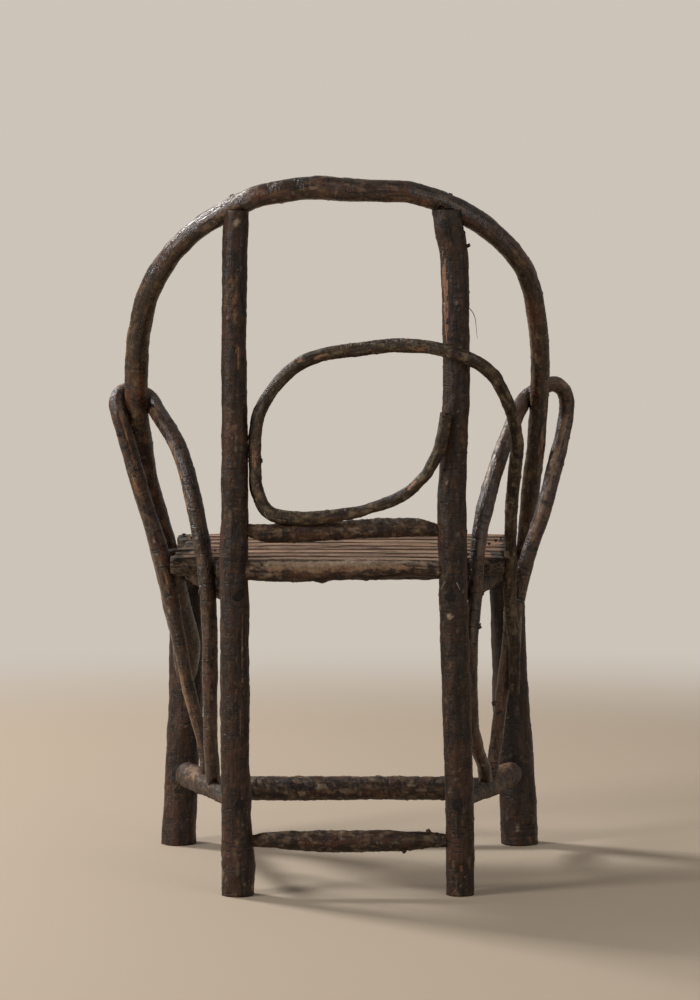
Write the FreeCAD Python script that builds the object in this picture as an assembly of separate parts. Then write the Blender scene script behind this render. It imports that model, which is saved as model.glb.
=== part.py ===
import FreeCAD, Part
import math
import os

# Twig chair: straight saplings with round tenons in drilled sockets, split saplings
# for the seat, and four bent saplings nailed on. Lengths are in millimetres.
# The sitter faces minus Y, the sitter's left side is plus X, and Z is up.
Vector = FreeCAD.Vector

# Plan and heights of the frame
frame_depth = 380.0
front_foot_spread = 473.0
front_head_spread = 440.0
rear_foot_spread = 283.0
rear_head_spread = 265.0
back_lean = 40.0
post_height = 880.0
front_side_shift = 1.0
hoop_foot_height = 225.0

# Straight saplings: diameters at mid length
left_post_diameter = 35.0
right_post_diameter = 35.4
left_leg_diameter = 45.6
right_leg_diameter = 48.0
side_rail_diameter = 28.0
front_rail_diameter = 26.0
rear_rail_diameter = 25.0
back_rail_diameter = 24.6
front_stretcher_diameter = 32.0
rear_stretcher_diameter = 25.0
side_stretcher_diameter = 26.0

# Heights of the rungs' centre lines
side_rail_height = 385.0
front_rail_height = 384.0
rear_rail_height = 417.0
back_rail_height = 467.0
front_stretcher_height = 76.5
rear_stretcher_height = 70.0
side_stretcher_front_height = 102.0
side_stretcher_rear_height = 119.0

# Round tenons and their sockets
tenon_diameter = 14.0
tenon_length = 14.0
tenon_clearance = 0.2
shoulder_gap = 1.1
shoulder_taper_length = 22.0
shoulder_share = 1.12
through_tenon_reveal = 1.0

# Seat slats: split saplings, flat side up
slat_count = 8
slat_gap = 2.1
slat_thickness = 28.0
slat_haunch_share = 0.45
slat_belly_share = 0.42
slat_edge_round = 2.5
slat_end_gap = 0.6
seat_front_overhang = 45.0
seat_rear_gap = 7.0
slat_lift = 0.3

# Bent saplings
hoop_diameter = 30.0
hoop_half_span = 280.0
loop_diameter = 16.4
loop_half_span = 122.0
arm_diameter = 21.0
arm_half_span = 306.0
rub_gap = 0.6
seat_clearance = 0.2
saddle_drop = 7.0
foot_tenon_diameter = 9.0
foot_tenon_overlap = 8.0

# Cut nails with square shanks and square heads
nail_shank = 2.6
nail_tip_share = 0.5
nail_head = 5.6
nail_crown_share = 0.8
head_seat_share = 1.05
nail_head_thickness = 1.4
nail_head_lift = 0.25
slat_nail_bite = 16.0
hoop_nail_bite = 22.0
arm_nail_bite = 14.0
loop_nail_bite = 12.0
leg_nail_shift_share = 0.2

# Facets round a sapling
thick_sides = 12
thin_sides = 10

# A ring's corners stand this far out of the round, so that its area matches the circle's
thick_corner_share = 1 / math.sqrt(math.cos(math.pi / thick_sides))
thin_corner_share = 1 / math.sqrt(math.cos(math.pi / thin_sides))


def unit(vector):
    length = vector.Length
    return Vector(vector.x / length, vector.y / length, vector.z / length)


def blend(start, end, share):
    return start + (end - start) * share


def skin(rings):
    """Closed solid of flat facets from ring to ring of corners."""
    faces = [Part.Face(Part.makePolygon(ring + [ring[0]])) for ring in (rings[0], rings[-1])]
    for ring, following in zip(rings, rings[1:]):
        for index in range(len(ring)):
            near, far = ring[index - 1], ring[index]
            far_after, near_after = following[index], following[index - 1]
            faces.append(Part.Face(Part.makePolygon([near, far, far_after, near])))
            faces.append(Part.Face(Part.makePolygon([near, far_after, near_after, near])))
    shell = Part.makeShell(faces)
    shell.sewShape()
    solid = Part.makeSolid(shell).removeSplitter()
    if solid.Volume < 0:
        solid.reverse()
    return solid


def sapling(points, radii, sides=thick_sides, heading=None):
    """A round limb of long flat facets through a ring at each point. The rings are square
    to the heading, or to the run of the points where no heading is given."""
    last = len(points) - 1
    corner_share = 1 / math.sqrt(math.cos(math.pi / sides))
    rings = []
    side = None
    for index, (point, radius) in enumerate(zip(points, radii)):
        run = heading
        if not heading:
            before = unit(point - points[index - 1]) if index > 0 else Vector()
            after = unit(points[index + 1] - point) if index < last else Vector()
            run = unit(before + after)
        if not side:
            side = run.cross(Vector(0, 1, 0))
            if side.Length < abs(run.y):
                side = run.cross(Vector(1, 0, 0))
        side = unit(side - run * side.dot(run))
        up = run.cross(side)
        corners = []
        for number in range(sides):
            angle = 2 * math.pi * number / sides
            spoke = side * math.cos(angle) + up * math.sin(angle)
            corners.append(point + spoke * (radius * corner_share))
        rings.append(corners)
    return skin(rings)


def spot_on(points, radii, axis, value, first=0):
    """Place and radius where a run of points first passes a value of x, y or z."""
    for index in range(first, len(points) - 1):
        start = points[index][axis]
        end = points[index + 1][axis]
        if (start - value) * (end - value) <= 0 and start != end:
            share = (value - start) / (end - start)
            radius = radii[index] + (radii[index + 1] - radii[index]) * share
            return blend(points[index], points[index + 1], share), radius
    return points[-1], radii[-1]


upward = Vector(0, 0, 1)


# Uprights: rows of height share, sway share of the diameter (away from the middle)
# and radius share
def upright(foot, head, outward, diameter, rows, top_drop=0.0):
    points = []
    radii = []
    drop_share = top_drop / (head.z - foot.z)
    for height_share, sway_share, radius_share in rows:
        sway = Vector(outward * sway_share * diameter, 0, 0)
        points.append(blend(foot, head, height_share * (1 - drop_share)) + sway)
        radii.append(radius_share * diameter / 2)
    return {"points": points, "radii": radii, "heading": upward,
            "solid": sapling(points, radii, heading=upward)}


def upright_at(post, height):
    return spot_on(post["points"], post["radii"], 2, height)


rear_y = frame_depth / 2
front_y = -frame_depth / 2
left_post = upright(
    Vector(rear_foot_spread / 2, rear_y, 0),
    Vector(rear_head_spread / 2, rear_y + back_lean, post_height), 1, left_post_diameter,
    [(0, 0.03, 1.17), (0.05, 0.03, 1.22), (0.1, 0.1, 1.1), (0.2, 0.17, 1.03), (0.28, 0.2, 1.02),
     (0.43, 0.21, 1.03), (0.47, 0.26, 1.03), (0.508, 0.27, 1.0), (0.56, 0.23, 0.96),
     (0.72, 0.28, 0.9), (0.86, 0.31, 0.87), (0.95, 0.28, 0.89), (1.0, 0.25, 0.9)],
    saddle_drop)
right_post = upright(
    Vector(-rear_foot_spread / 2, rear_y, 0),
    Vector(-rear_head_spread / 2, rear_y + back_lean, post_height), -1, right_post_diameter,
    [(0, -0.04, 0.95), (0.06, -0.03, 1.0), (0.11, -0.01, 1.01), (0.2, -0.06, 0.99),
     (0.28, -0.11, 1.0), (0.43, -0.2, 1.01), (0.52, -0.22, 1.02), (0.58, -0.246, 1.0),
     (0.65, -0.14, 0.95), (0.72, -0.07, 0.96), (0.86, -0.034, 0.93), (0.93, -0.068, 0.98),
     (0.97, -0.26, 1.04), (1.0, -0.33, 1.04)],
    saddle_drop)

# The slats lie on the side rails, and the front legs stop level with the rails' tops
rail_top_share = 1.04
leg_height = side_rail_height + side_rail_diameter / 2 * rail_top_share
slat_bottom = leg_height + slat_lift
slat_top = slat_bottom + slat_thickness
left_leg = upright(
    Vector(front_foot_spread / 2 + front_side_shift, front_y, 0),
    Vector(front_head_spread / 2 + front_side_shift, front_y, leg_height), 1, left_leg_diameter,
    [(0, 0, 1.06), (0.15, -0.01, 1.02), (0.3, -0.02, 1.03), (0.5, -0.06, 1.01),
     (0.7, 0.0, 1.0), (0.85, 0.04, 1.0), (1.0, 0.07, 0.98)])
right_leg = upright(
    Vector(-front_foot_spread / 2 + front_side_shift, front_y, 0),
    Vector(-front_head_spread / 2 + front_side_shift, front_y, leg_height), -1,
    right_leg_diameter,
    [(0, 0, 1.06), (0.15, -0.01, 1.05), (0.3, -0.05, 1.04), (0.5, -0.11, 1.03),
     (0.65, -0.11, 0.99), (0.85, -0.1, 0.97), (1.0, -0.1, 0.96)])


# Rungs: a tapered body between two shoulders, with a tenon whittled in flats at each end
# and a drilled socket for each tenon.
# Rows are share along, radius share and sag share of the diameter.
def rung(start_post, start_height, end_post, end_height, diameter, rows, through_end=False):
    start, start_radius = upright_at(start_post, start_height)
    end, end_radius = upright_at(end_post, end_height)
    run = unit(end - start)
    first = start + run * (start_radius + shoulder_gap)
    last = end - run * (end_radius + shoulder_gap)
    tenon_radius = tenon_diameter / 2
    whittled = [tenon_radius / thick_corner_share] * 2
    taper_share = shoulder_taper_length / (last - first).Length
    points = [first]
    radii = [tenon_radius * shoulder_share]
    for along_share, radius_share, sag_share in rows:
        along_share = taper_share + along_share * (1 - 2 * taper_share)
        points.append(blend(first, last, along_share) - Vector(0, 0, sag_share * diameter))
        radii.append(radius_share * diameter / 2)
    points.append(last)
    radii.append(tenon_radius * shoulder_share)
    end_length = tenon_length
    if through_end:
        end_length = 2 * end_radius + shoulder_gap + through_tenon_reveal
    tips = [first - run * tenon_length, first, last, last + run * end_length]
    solid = sapling(tips[:2] + points + tips[2:], whittled + radii + whittled, heading=run)
    bore = tenon_radius + tenon_clearance
    end_depth = end_length + tenon_clearance
    if through_end:
        end_depth = end_length + end_radius
    sockets = {
        "start": Part.makeCylinder(bore, start_radius + tenon_length + tenon_clearance,
                                   first + run * start_radius, -run),
        "end": Part.makeCylinder(bore, end_radius + end_depth, last - run * end_radius, run),
    }
    return {"points": points, "radii": radii, "heading": run, "solid": solid,
            "sockets": sockets}


rail_rows = [(0, 0.98, 0), (0.3, 1.02, 0.02), (0.65, 1.0, 0.01), (1, 0.97, 0)]
side_rail_left = rung(left_leg, side_rail_height, left_post, side_rail_height,
                      side_rail_diameter, rail_rows, True)
side_rail_right = rung(right_leg, side_rail_height, right_post, side_rail_height,
                       side_rail_diameter, rail_rows, True)
seat_rail_front = rung(left_leg, front_rail_height, right_leg, front_rail_height,
                       front_rail_diameter, rail_rows)
seat_rail_rear = rung(left_post, rear_rail_height, right_post, rear_rail_height,
                      rear_rail_diameter,
                      [(0, 1.06, 0.04), (0.2, 1.08, 0.06), (0.4, 1.03, 0.02), (0.55, 1.0, -0.02),
                       (0.68, 0.98, -0.04), (0.85, 0.9, -0.08), (1, 0.84, -0.1)])
back_rail_lower = rung(left_post, back_rail_height, right_post, back_rail_height,
                       back_rail_diameter,
                       [(0, 0.98, 0.14), (0.2, 1.0, 0.12), (0.45, 1.0, 0.0), (0.7, 0.98, -0.1),
                        (0.85, 0.95, -0.14), (1, 0.93, -0.16)])
stretcher_front = rung(left_leg, front_stretcher_height, right_leg, front_stretcher_height,
                       front_stretcher_diameter,
                       [(0, 0.96, 0), (0.2, 1.03, 0.02), (0.42, 0.99, 0.0), (0.6, 1.03, -0.02),
                        (0.8, 1.0, 0.01), (1, 0.97, 0.02)])
stretcher_rear = rung(left_post, rear_stretcher_height, right_post, rear_stretcher_height,
                      rear_stretcher_diameter,
                      [(0, 0.8, -0.04), (0.14, 0.98, 0.0), (0.35, 1.04, 0.03), (0.55, 1.0, 0.02),
                       (0.75, 1.05, 0.03), (0.9, 0.92, 0), (1, 0.78, -0.06)])
butt_rows = [(0, 1.28, 0), (0.2, 1.22, 0.02), (0.45, 1.02, 0.03), (0.7, 0.86, 0.02),
             (0.88, 0.76, 0), (1, 0.7, 0)]
stretcher_left = rung(left_leg, side_stretcher_front_height, left_post,
                      side_stretcher_rear_height, side_stretcher_diameter, butt_rows, True)
stretcher_right = rung(right_leg, side_stretcher_front_height, right_post,
                       side_stretcher_rear_height, side_stretcher_diameter, butt_rows, True)


# Back hoop: a flat bent sapling that leans with its plane, through the post tops at rise
# share 1 and the middles of the front legs at rise share 0. Rows are across share of the
# half span, rise share and radius share, from the left foot over the crown to the right.
hoop_shares = [
    (0.798, 0.091, 1.28), (0.836, 0.172, 1.26), (0.863, 0.241, 1.22), (0.906, 0.328, 1.19),
    (0.938, 0.389, 1.16), (0.971, 0.457, 1.11), (0.99, 0.547, 1.07), (0.99, 0.619, 0.98),
    (0.983, 0.685, 1), (0.968, 0.741, 0.99), (0.925, 0.812, 0.96), (0.871, 0.858, 0.94),
    (0.793, 0.904, 0.88), (0.693, 0.944, 0.86), (0.553, 0.981, 0.87), (0.419, 1.009, 0.89),
    (0.265, 1.022, 0.94), (0.126, 1.027, 0.97), (0.041, 1.022, 0.97), (-0.06, 1.02, 0.93),
    (-0.251, 1.018, 0.88), (-0.379, 1.003, 0.86), (-0.487, 0.982, 0.88), (-0.598, 0.955, 0.9),
    (-0.72, 0.911, 0.89), (-0.787, 0.873, 0.86), (-0.827, 0.827, 0.83), (-0.855, 0.768, 0.8),
    (-0.87, 0.718, 0.8), (-0.877, 0.662, 0.79), (-0.875, 0.606, 0.79), (-0.868, 0.505, 0.79),
    (-0.855, 0.44, 0.8), (-0.844, 0.365, 0.8), (-0.84, 0.293, 0.83), (-0.822, 0.232, 0.82),
    (-0.79, 0.165, 0.82)]
hoop_low = Vector(0, front_y, hoop_foot_height)
hoop_high = Vector(0, rear_y + back_lean, post_height)
hoop_rise = hoop_high - hoop_low
hoop_slope = unit(hoop_rise)
hoop_rear_normal = Vector(0, hoop_slope.z, -hoop_slope.y)
hoop_points = []
hoop_radii = []
for across_share, rise_share, radius_share in hoop_shares:
    across = Vector(across_share * hoop_half_span, 0, 0)
    hoop_points.append(blend(hoop_low, hoop_high, rise_share) + across)
    hoop_radii.append(radius_share * hoop_diameter / 2)
left_foot = upright_at(left_leg, hoop_foot_height)[0]
right_foot = upright_at(right_leg, hoop_foot_height)[0]
hoop_points = [left_foot] + hoop_points + [right_foot]
hoop_radii = [hoop_radii[0]] + hoop_radii + [hoop_radii[-1]]


def nearest_on(run, spot):
    """The point of a run that lies nearest to a spot."""
    best = run[0][0]
    for start, end in zip(run[0], run[0][1:]):
        length = (end - start).Length
        share = (spot - start).dot(end - start) / length ** 2
        candidate = blend(start, end, min(max(share, 0), 1))
        if (candidate - spot).Length < (best - spot).Length:
            best = candidate
    return best


def beside(run, axis, value, direction, own_radius, first=0):
    """Centre of a limb that lies against another where that one passes a value."""
    point, radius = spot_on(run[0], run[1], axis, value, first)
    return point + unit(direction) * (radius + own_radius + rub_gap)


# Arm loops: each stands on a side stretcher, rises against the side rail, passes the
# front of the hoop, turns over and comes down outside the seat to the stretcher again.
# Rows are across share of the half span, back share of the frame depth, height share of
# the post height and radius share.
def arm_rows(rows):
    points = []
    radii = []
    for across_share, back_share, height_share, radius_share in rows:
        points.append(Vector(across_share * arm_half_span, back_share * frame_depth,
                             height_share * post_height))
        radii.append(radius_share * arm_radius)
    return points, radii


def arm_spot(point, radius_share=1.0):
    return [point], [radius_share * arm_radius]


def joined(pieces):
    points = []
    radii = []
    for piece_points, piece_radii in pieces:
        points += piece_points
        radii += piece_radii
    return points, radii


def along_rung(stretcher, share):
    return blend(stretcher["points"][0], stretcher["points"][-1], share)


def limb_of(rung_piece):
    return rung_piece["points"], rung_piece["radii"]


arm_radius = arm_diameter / 2
hoop_run = (hoop_points, hoop_radii)
crown_index = len(hoop_points) // 2
rear_foot_radius_share = 0.88
outer_foot_radius_share = 0.62
left_feet_shares = (0.62, 0.42)
left_rail_side = Vector(1, 0.19, 0)
left_rail_touch = beside(limb_of(side_rail_left), 1, 0.4 * frame_depth, left_rail_side,
                         arm_radius)


def round_hoop(height_share, outward_share, rear_share, side=1, first=0):
    """Centre of an arm loop where it touches the hoop, seen along the hoop."""
    direction = Vector(side * outward_share, 0, 0) + hoop_rear_normal * rear_share
    return beside(hoop_run, 2, height_share * post_height, direction, arm_radius, first)


left_front_touch = round_hoop(0.708, 0.11, -0.99)
left_rear_touch = round_hoop(0.677, 0.58, 0.81)
arm_left_run = joined([
    arm_spot(along_rung(stretcher_left, left_feet_shares[0]), rear_foot_radius_share),
    arm_rows([(0.591, 0.25, 0.208, 0.9), (0.588, 0.342, 0.287, 0.89),
              (0.585, 0.389, 0.363, 0.92)]),
    arm_spot(left_rail_touch),
    arm_rows([(0.61, 0.408, 0.495, 1.04), (0.64, 0.395, 0.553, 1.04),
              (0.677, 0.363, 0.606, 1.04), (0.718, 0.321, 0.646, 1.05),
              (0.774, 0.248, 0.675, 1.05), (0.819, 0.172, 0.694, 1.04)]),
    arm_spot(round_hoop(0.698, -0.64, -0.77)),
    arm_spot(left_front_touch),
    arm_spot(round_hoop(0.712, 0.73, -0.68)),
    arm_spot(round_hoop(0.709, 1, 0.08)),
    arm_spot(round_hoop(0.695, 0.79, 0.62)),
    arm_spot(left_rear_touch),
    arm_rows([(0.91, 0.15, 0.6, 1.03), (0.872, 0.121, 0.551, 1.0),
              (0.836, 0.116, 0.509, 1.0), (0.787, 0.1, 0.449, 1.05),
              (0.761, 0.074, 0.401, 0.95), (0.733, 0.037, 0.345, 0.8),
              (0.699, -0.011, 0.271, 0.8), (0.671, -0.032, 0.233, 0.8),
              (0.645, -0.053, 0.194, 0.76), (0.633, -0.068, 0.163, 0.66)]),
    arm_spot(along_rung(stretcher_left, left_feet_shares[1]), outer_foot_radius_share),
])

right_feet_shares = (0.56, 0.46)
right_leg_radius_share = 0.82
right_rear_leg_radius = right_leg_radius_share * arm_radius
right_rail_side = Vector(-1, 0.21, 0)
right_rail_touch = beside(limb_of(side_rail_right), 1, 0.45 * frame_depth, right_rail_side,
                          right_rear_leg_radius)
right_front_touch = round_hoop(0.713, 0.05, -1, -1, crown_index)
arm_right_run = joined([
    arm_spot(along_rung(stretcher_right, right_feet_shares[0]), rear_foot_radius_share),
    arm_rows([(-0.575, 0.15, 0.163, 0.8), (-0.545, 0.235, 0.19, 0.8),
              (-0.514, 0.329, 0.234, 0.8), (-0.503, 0.421, 0.301, 0.82),
              (-0.504, 0.468, 0.364, 0.82)]),
    arm_spot(right_rail_touch, right_leg_radius_share),
    arm_rows([(-0.526, 0.489, 0.495, 0.9), (-0.538, 0.474, 0.525, 0.94),
              (-0.555, 0.447, 0.554, 0.94), (-0.592, 0.395, 0.597, 0.98),
              (-0.619, 0.353, 0.623, 0.98), (-0.646, 0.311, 0.646, 0.99),
              (-0.707, 0.216, 0.692, 1.0)]),
    arm_spot(round_hoop(0.7, -0.75, -0.66, -1, crown_index)),
    arm_spot(right_front_touch),
    arm_rows([(-0.875, 0.09, 0.735, 0.97), (-0.918, 0.055, 0.722, 0.98),
              (-0.931, 0.035, 0.706, 0.98), (-0.925, 0.032, 0.677, 0.98),
              (-0.905, 0.047, 0.646, 0.98), (-0.879, 0.068, 0.61, 0.98),
              (-0.847, 0.084, 0.569, 0.95), (-0.818, 0.095, 0.535, 0.95),
              (-0.761, 0.097, 0.476, 0.94), (-0.738, 0.092, 0.442, 0.91),
              (-0.717, 0.082, 0.408, 0.91), (-0.696, 0.071, 0.377, 0.91),
              (-0.684, 0.058, 0.346, 0.88), (-0.674, 0.045, 0.316, 0.88),
              (-0.654, 0.016, 0.254, 0.89), (-0.639, -0.005, 0.207, 0.87),
              (-0.628, -0.016, 0.177, 0.85)]),
    arm_spot(along_rung(stretcher_right, right_feet_shares[1]), outer_foot_radius_share),
])


# Back loop: a thin bent sapling that starts on the right post's rear face, lies on the
# lower back rail, bears on the left post's inner side, crosses the right post again and
# runs down outside the seat to the arm loop. Rows are across share of the half span,
# offset share of the frame depth behind the posts' plane, height share of the post height
# above the base and radius share.
def behind_posts(across, offset, height):
    return Vector(across, rear_y + back_lean * height / post_height + offset, height)


def loop_rows(rows, base_height=0):
    points = []
    radii = []
    for across_share, offset_share, height_share, radius_share in rows:
        points.append(behind_posts(across_share * loop_half_span, offset_share * frame_depth,
                                   base_height + height_share * post_height))
        radii.append(radius_share * loop_radius)
    return points, radii


def loop_spot(point, radius_share=1.0):
    return [point], [radius_share * loop_radius]


def on_upright(post, height_share, direction, shift_share=0.0):
    point, radius = upright_at(post, height_share * post_height)
    shift = Vector(shift_share * 2 * radius, 0, 0)
    return point + shift + unit(direction) * (radius + loop_radius + rub_gap)


loop_radius = loop_diameter / 2
rearward = Vector(0, 1, 0)
back_rail_run = limb_of(back_rail_lower)
loop_start_touch = on_upright(right_post, 0.7, rearward, 0.36)
loop_cross_touch = on_upright(right_post, 0.785, rearward)
loop_left_side = Vector(-1, 0.05, 0)
loop_left_touch = on_upright(left_post, 0.631, loop_left_side)
loop_rail_side = Vector(0, 0.5, 0.87)
loop_rail_touch = beside(back_rail_run, 0, 0.23 * loop_half_span, loop_rail_side, loop_radius)
loop_rail_end_touch = beside(back_rail_run, 0, 0.52 * loop_half_span, Vector(0, 0.45, 0.89),
                             loop_radius)
outer_leg_index = len(arm_right_run[0]) // 2


def on_right_arm(height_share, side):
    return beside(arm_right_run, 2, height_share * post_height, side, loop_radius,
                  outer_leg_index)


loop_tail_side = Vector(-0.38, 1, 0)
loop_tail_touch = on_right_arm(0.344, loop_tail_side)
back_loop_run = joined([
    loop_spot(loop_start_touch, 0.9),
    loop_rows([(-0.925, 0.058, 0.652, 0.85), (-0.79, 0.039, 0.614, 0.78)]),
    loop_rows([(-0.617, 0.024, 0.058, 0.75), (-0.415, 0.016, 0.042, 0.83),
               (-0.103, 0.02, 0.028, 0.82)], back_rail_height),
    loop_spot(loop_rail_touch),
    loop_spot(loop_rail_end_touch),
    loop_rows([(0.777, 0.015, 0.021, 1.0), (0.892, 0.005, 0.03, 0.97),
               (0.972, 0.003, 0.064, 0.97)], back_rail_height),
    loop_spot(loop_left_touch, 0.97),
    loop_rows([(0.985, 0.0, 0.659, 1.0), (0.953, 0.0, 0.695, 1.0), (0.87, 0.0, 0.718, 1.0),
               (0.746, 0.0, 0.741, 1.0), (0.621, 0.0, 0.76, 1.0), (0.466, 0.0, 0.774, 1.0),
               (0.259, 0.0, 0.784, 1.0), (-0.103, 0.005, 0.79, 1.0),
               (-0.475, 0.021, 0.797, 1.0), (-0.773, 0.047, 0.795, 0.99),
               (-0.957, 0.066, 0.79, 0.99)]),
    loop_spot(loop_cross_touch),
    loop_rows([(-1.163, 0.068, 0.781, 0.99), (-1.328, 0.055, 0.771, 0.99),
               (-1.487, 0.021, 0.751, 1.0), (-1.601, -0.016, 0.723, 1.0),
               (-1.693, -0.063, 0.691, 1.01), (-1.743, -0.113, 0.655, 1.01),
               (-1.734, -0.15, 0.631, 1.02), (-1.719, -0.203, 0.597, 1.02),
               (-1.703, -0.263, 0.558, 1.02), (-1.702, -0.321, 0.518, 1.03),
               (-1.704, -0.374, 0.471, 1.04), (-1.711, -0.411, 0.425, 1.04)]),
    loop_spot(on_right_arm(0.379, Vector(0.1, 1, 0)), 1.0),
    loop_spot(loop_tail_touch, 1.0),
    loop_spot(on_right_arm(0.303, Vector(-0.8, 1, 0)), 0.97),
    loop_spot(on_right_arm(0.269, Vector(-1, 0.8, 0)), 0.9),
])

# Seat slats: split saplings with the flat face up, laid from side to side on the side
# rails. Each reaches the limb that passes its end, or its own share of the front spread.
seat_front = front_y - seat_front_overhang
post_front, post_front_radius = upright_at(right_post, slat_bottom)
seat_rear = post_front.y - post_front_radius - seat_rear_gap
slat_pitch = (seat_rear - seat_front + slat_gap) / slat_count
slat_width = slat_pitch - slat_gap


slat_reach_shares = [(1.08, 1.027), (1.06, 1.009), (1.09, 0.991), (1.09, 0.977), (1.09, 0.964),
                     (1.09, 0.955), (1.05, 0.945), (0.9, 0.8)]
slat_station_shares = [(0, 0.93), (0.3, 1.0), (0.7, 0.98), (1, 0.92)]
reach_steps = 8


def slat_section(across, middle, thickness):
    half = slat_width / 2
    top = slat_bottom + thickness
    edge = slat_edge_round
    haunch = top - thickness * slat_haunch_share
    belly = half * slat_belly_share
    outline = [
        Vector(across, middle - half + edge, top),
        Vector(across, middle + half - edge, top),
        Vector(across, middle + half, top - edge),
        Vector(across, middle + half, haunch),
        Vector(across, middle + belly, slat_bottom),
        Vector(across, middle - belly, slat_bottom),
        Vector(across, middle - half, haunch),
        Vector(across, middle - half, top - edge),
    ]
    return outline


def free_reach(side, reach, middle):
    """How far out a slat can go on one side before a bent sapling that passes it."""
    for points, radii in bent_runs:
        for index in range(len(points) - 1):
            for step in range(reach_steps):
                share = step / reach_steps
                spot = blend(points[index], points[index + 1], share)
                radius = radii[index] + (radii[index + 1] - radii[index]) * share
                radius *= thick_corner_share
                beside_slat = abs(spot.y - middle) < slat_width / 2 + radius
                level = slat_bottom - radius < spot.z < slat_top + radius
                if side * spot.x > 0 and beside_slat and level:
                    reach = min(reach, side * spot.x - radius - slat_end_gap)
    return reach


bent_runs = [hoop_run, arm_left_run, arm_right_run, back_loop_run]
slats = []
for number, (left_share, right_share) in enumerate(slat_reach_shares):
    middle = seat_front + slat_width / 2 + number * slat_pitch
    left_end = free_reach(1, left_share * front_head_spread / 2, middle)
    right_end = -free_reach(-1, right_share * front_head_spread / 2, middle)
    sections = []
    for along_share, thickness_share in slat_station_shares:
        across = left_end + (right_end - left_end) * along_share
        sections.append(slat_section(across, middle, thickness_share * slat_thickness))
    slats.append({"middle": middle, "solid": skin(sections)})


# The pieces by name, drilled, coped and nailed below
def grown(points, radii, heading=None):
    return sapling(points, [radius + seat_clearance for radius in radii], heading=heading)


pieces = {
    "rear_post_left": left_post["solid"],
    "rear_post_right": right_post["solid"],
    "front_leg_left": left_leg["solid"],
    "front_leg_right": right_leg["solid"],
    "seat_rail_front": seat_rail_front["solid"],
    "seat_rail_rear": seat_rail_rear["solid"],
    "seat_rail_left": side_rail_left["solid"],
    "seat_rail_right": side_rail_right["solid"],
    "back_rail_lower": back_rail_lower["solid"],
    "stretcher_front": stretcher_front["solid"],
    "stretcher_rear": stretcher_rear["solid"],
    "stretcher_left": stretcher_left["solid"],
    "stretcher_right": stretcher_right["solid"],
    "back_hoop": sapling(hoop_points, hoop_radii),
    "back_loop": sapling(*back_loop_run, thin_sides),
    "arm_loop_left": sapling(*arm_left_run, thin_sides),
    "arm_loop_right": sapling(*arm_right_run, thin_sides),
}
for number, slat in enumerate(slats, 1):
    pieces[f"seat_slat_{number}"] = slat["solid"]


def cut_from(name, tool):
    pieces[name] = pieces[name].cut(tool)


# Sockets: the rungs' round tenons go into the legs and posts
for rung_piece, start_name, end_name in [
    (side_rail_left, "front_leg_left", "rear_post_left"),
    (side_rail_right, "front_leg_right", "rear_post_right"),
    (stretcher_left, "front_leg_left", "rear_post_left"),
    (stretcher_right, "front_leg_right", "rear_post_right"),
    (seat_rail_front, "front_leg_left", "front_leg_right"),
    (stretcher_front, "front_leg_left", "front_leg_right"),
    (seat_rail_rear, "rear_post_left", "rear_post_right"),
    (back_rail_lower, "rear_post_left", "rear_post_right"),
    (stretcher_rear, "rear_post_left", "rear_post_right"),
]:
    cut_from(start_name, rung_piece["sockets"]["start"])
    cut_from(end_name, rung_piece["sockets"]["end"])

# The hoop's feet are scarfed against the front legs and the posts are coped under it
for leg in (left_leg, right_leg):
    cut_from("back_hoop", grown(*limb_of(leg), upward))
for name in ("rear_post_left", "rear_post_right"):
    cut_from(name, grown(*hoop_run))


# The arm loops' feet are coped over the side stretchers and have small round tenons
def foot_tenon(arm_name, run, stretcher_name, stretcher):
    cut_from(arm_name, grown(*limb_of(stretcher), stretcher["heading"]))
    for foot, above in ((run[0][0], run[0][1]), (run[0][-1], run[0][-2])):
        rising = unit(above - foot)
        stretcher_radius = spot_on(*limb_of(stretcher), 1, foot.y)[1]
        length = stretcher_radius + foot_tenon_overlap
        tenon = sapling([foot, foot + rising * length],
                        [foot_tenon_diameter / 2 / thin_corner_share] * 2, thin_sides, rising)
        pieces[arm_name] = pieces[arm_name].fuse(tenon)
        socket = Part.makeCylinder(foot_tenon_diameter / 2 + tenon_clearance, 2 * length,
                                   foot - rising * tenon_clearance, rising)
        cut_from(stretcher_name, socket)


# Where two saplings press together the lighter one is let in
for name, carrier in (
    ("arm_loop_left", grown(*hoop_run)),
    ("arm_loop_right", grown(*hoop_run)),
    ("arm_loop_left", grown(*limb_of(side_rail_left), side_rail_left["heading"])),
    ("arm_loop_right", grown(*limb_of(side_rail_right), side_rail_right["heading"])),
    ("back_loop", grown(*limb_of(left_post), upward)),
    ("back_loop", grown(*limb_of(right_post), upward)),
    ("back_loop", grown(*limb_of(back_rail_lower), back_rail_lower["heading"])),
    ("back_loop", grown(*arm_right_run)),
):
    cut_from(name, carrier)
foot_tenon("arm_loop_left", arm_left_run, "stretcher_left", stretcher_left)
foot_tenon("arm_loop_right", arm_right_run, "stretcher_right", stretcher_right)

# Nails: each goes through one piece into the piece that carries it
nails = {"nails_seat": [], "nails_hoop": [], "nails_arms": [], "nails_loop": []}


def square(centre, direction, side_length):
    across = direction.cross(Vector(0, 1, 0))
    if across.Length < abs(direction.y):
        across = direction.cross(Vector(1, 0, 0))
    across = unit(across) * (side_length / 2)
    up = unit(direction).cross(across)
    return [centre + across + up, centre - across + up, centre - across - up,
            centre + across - up]


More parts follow.
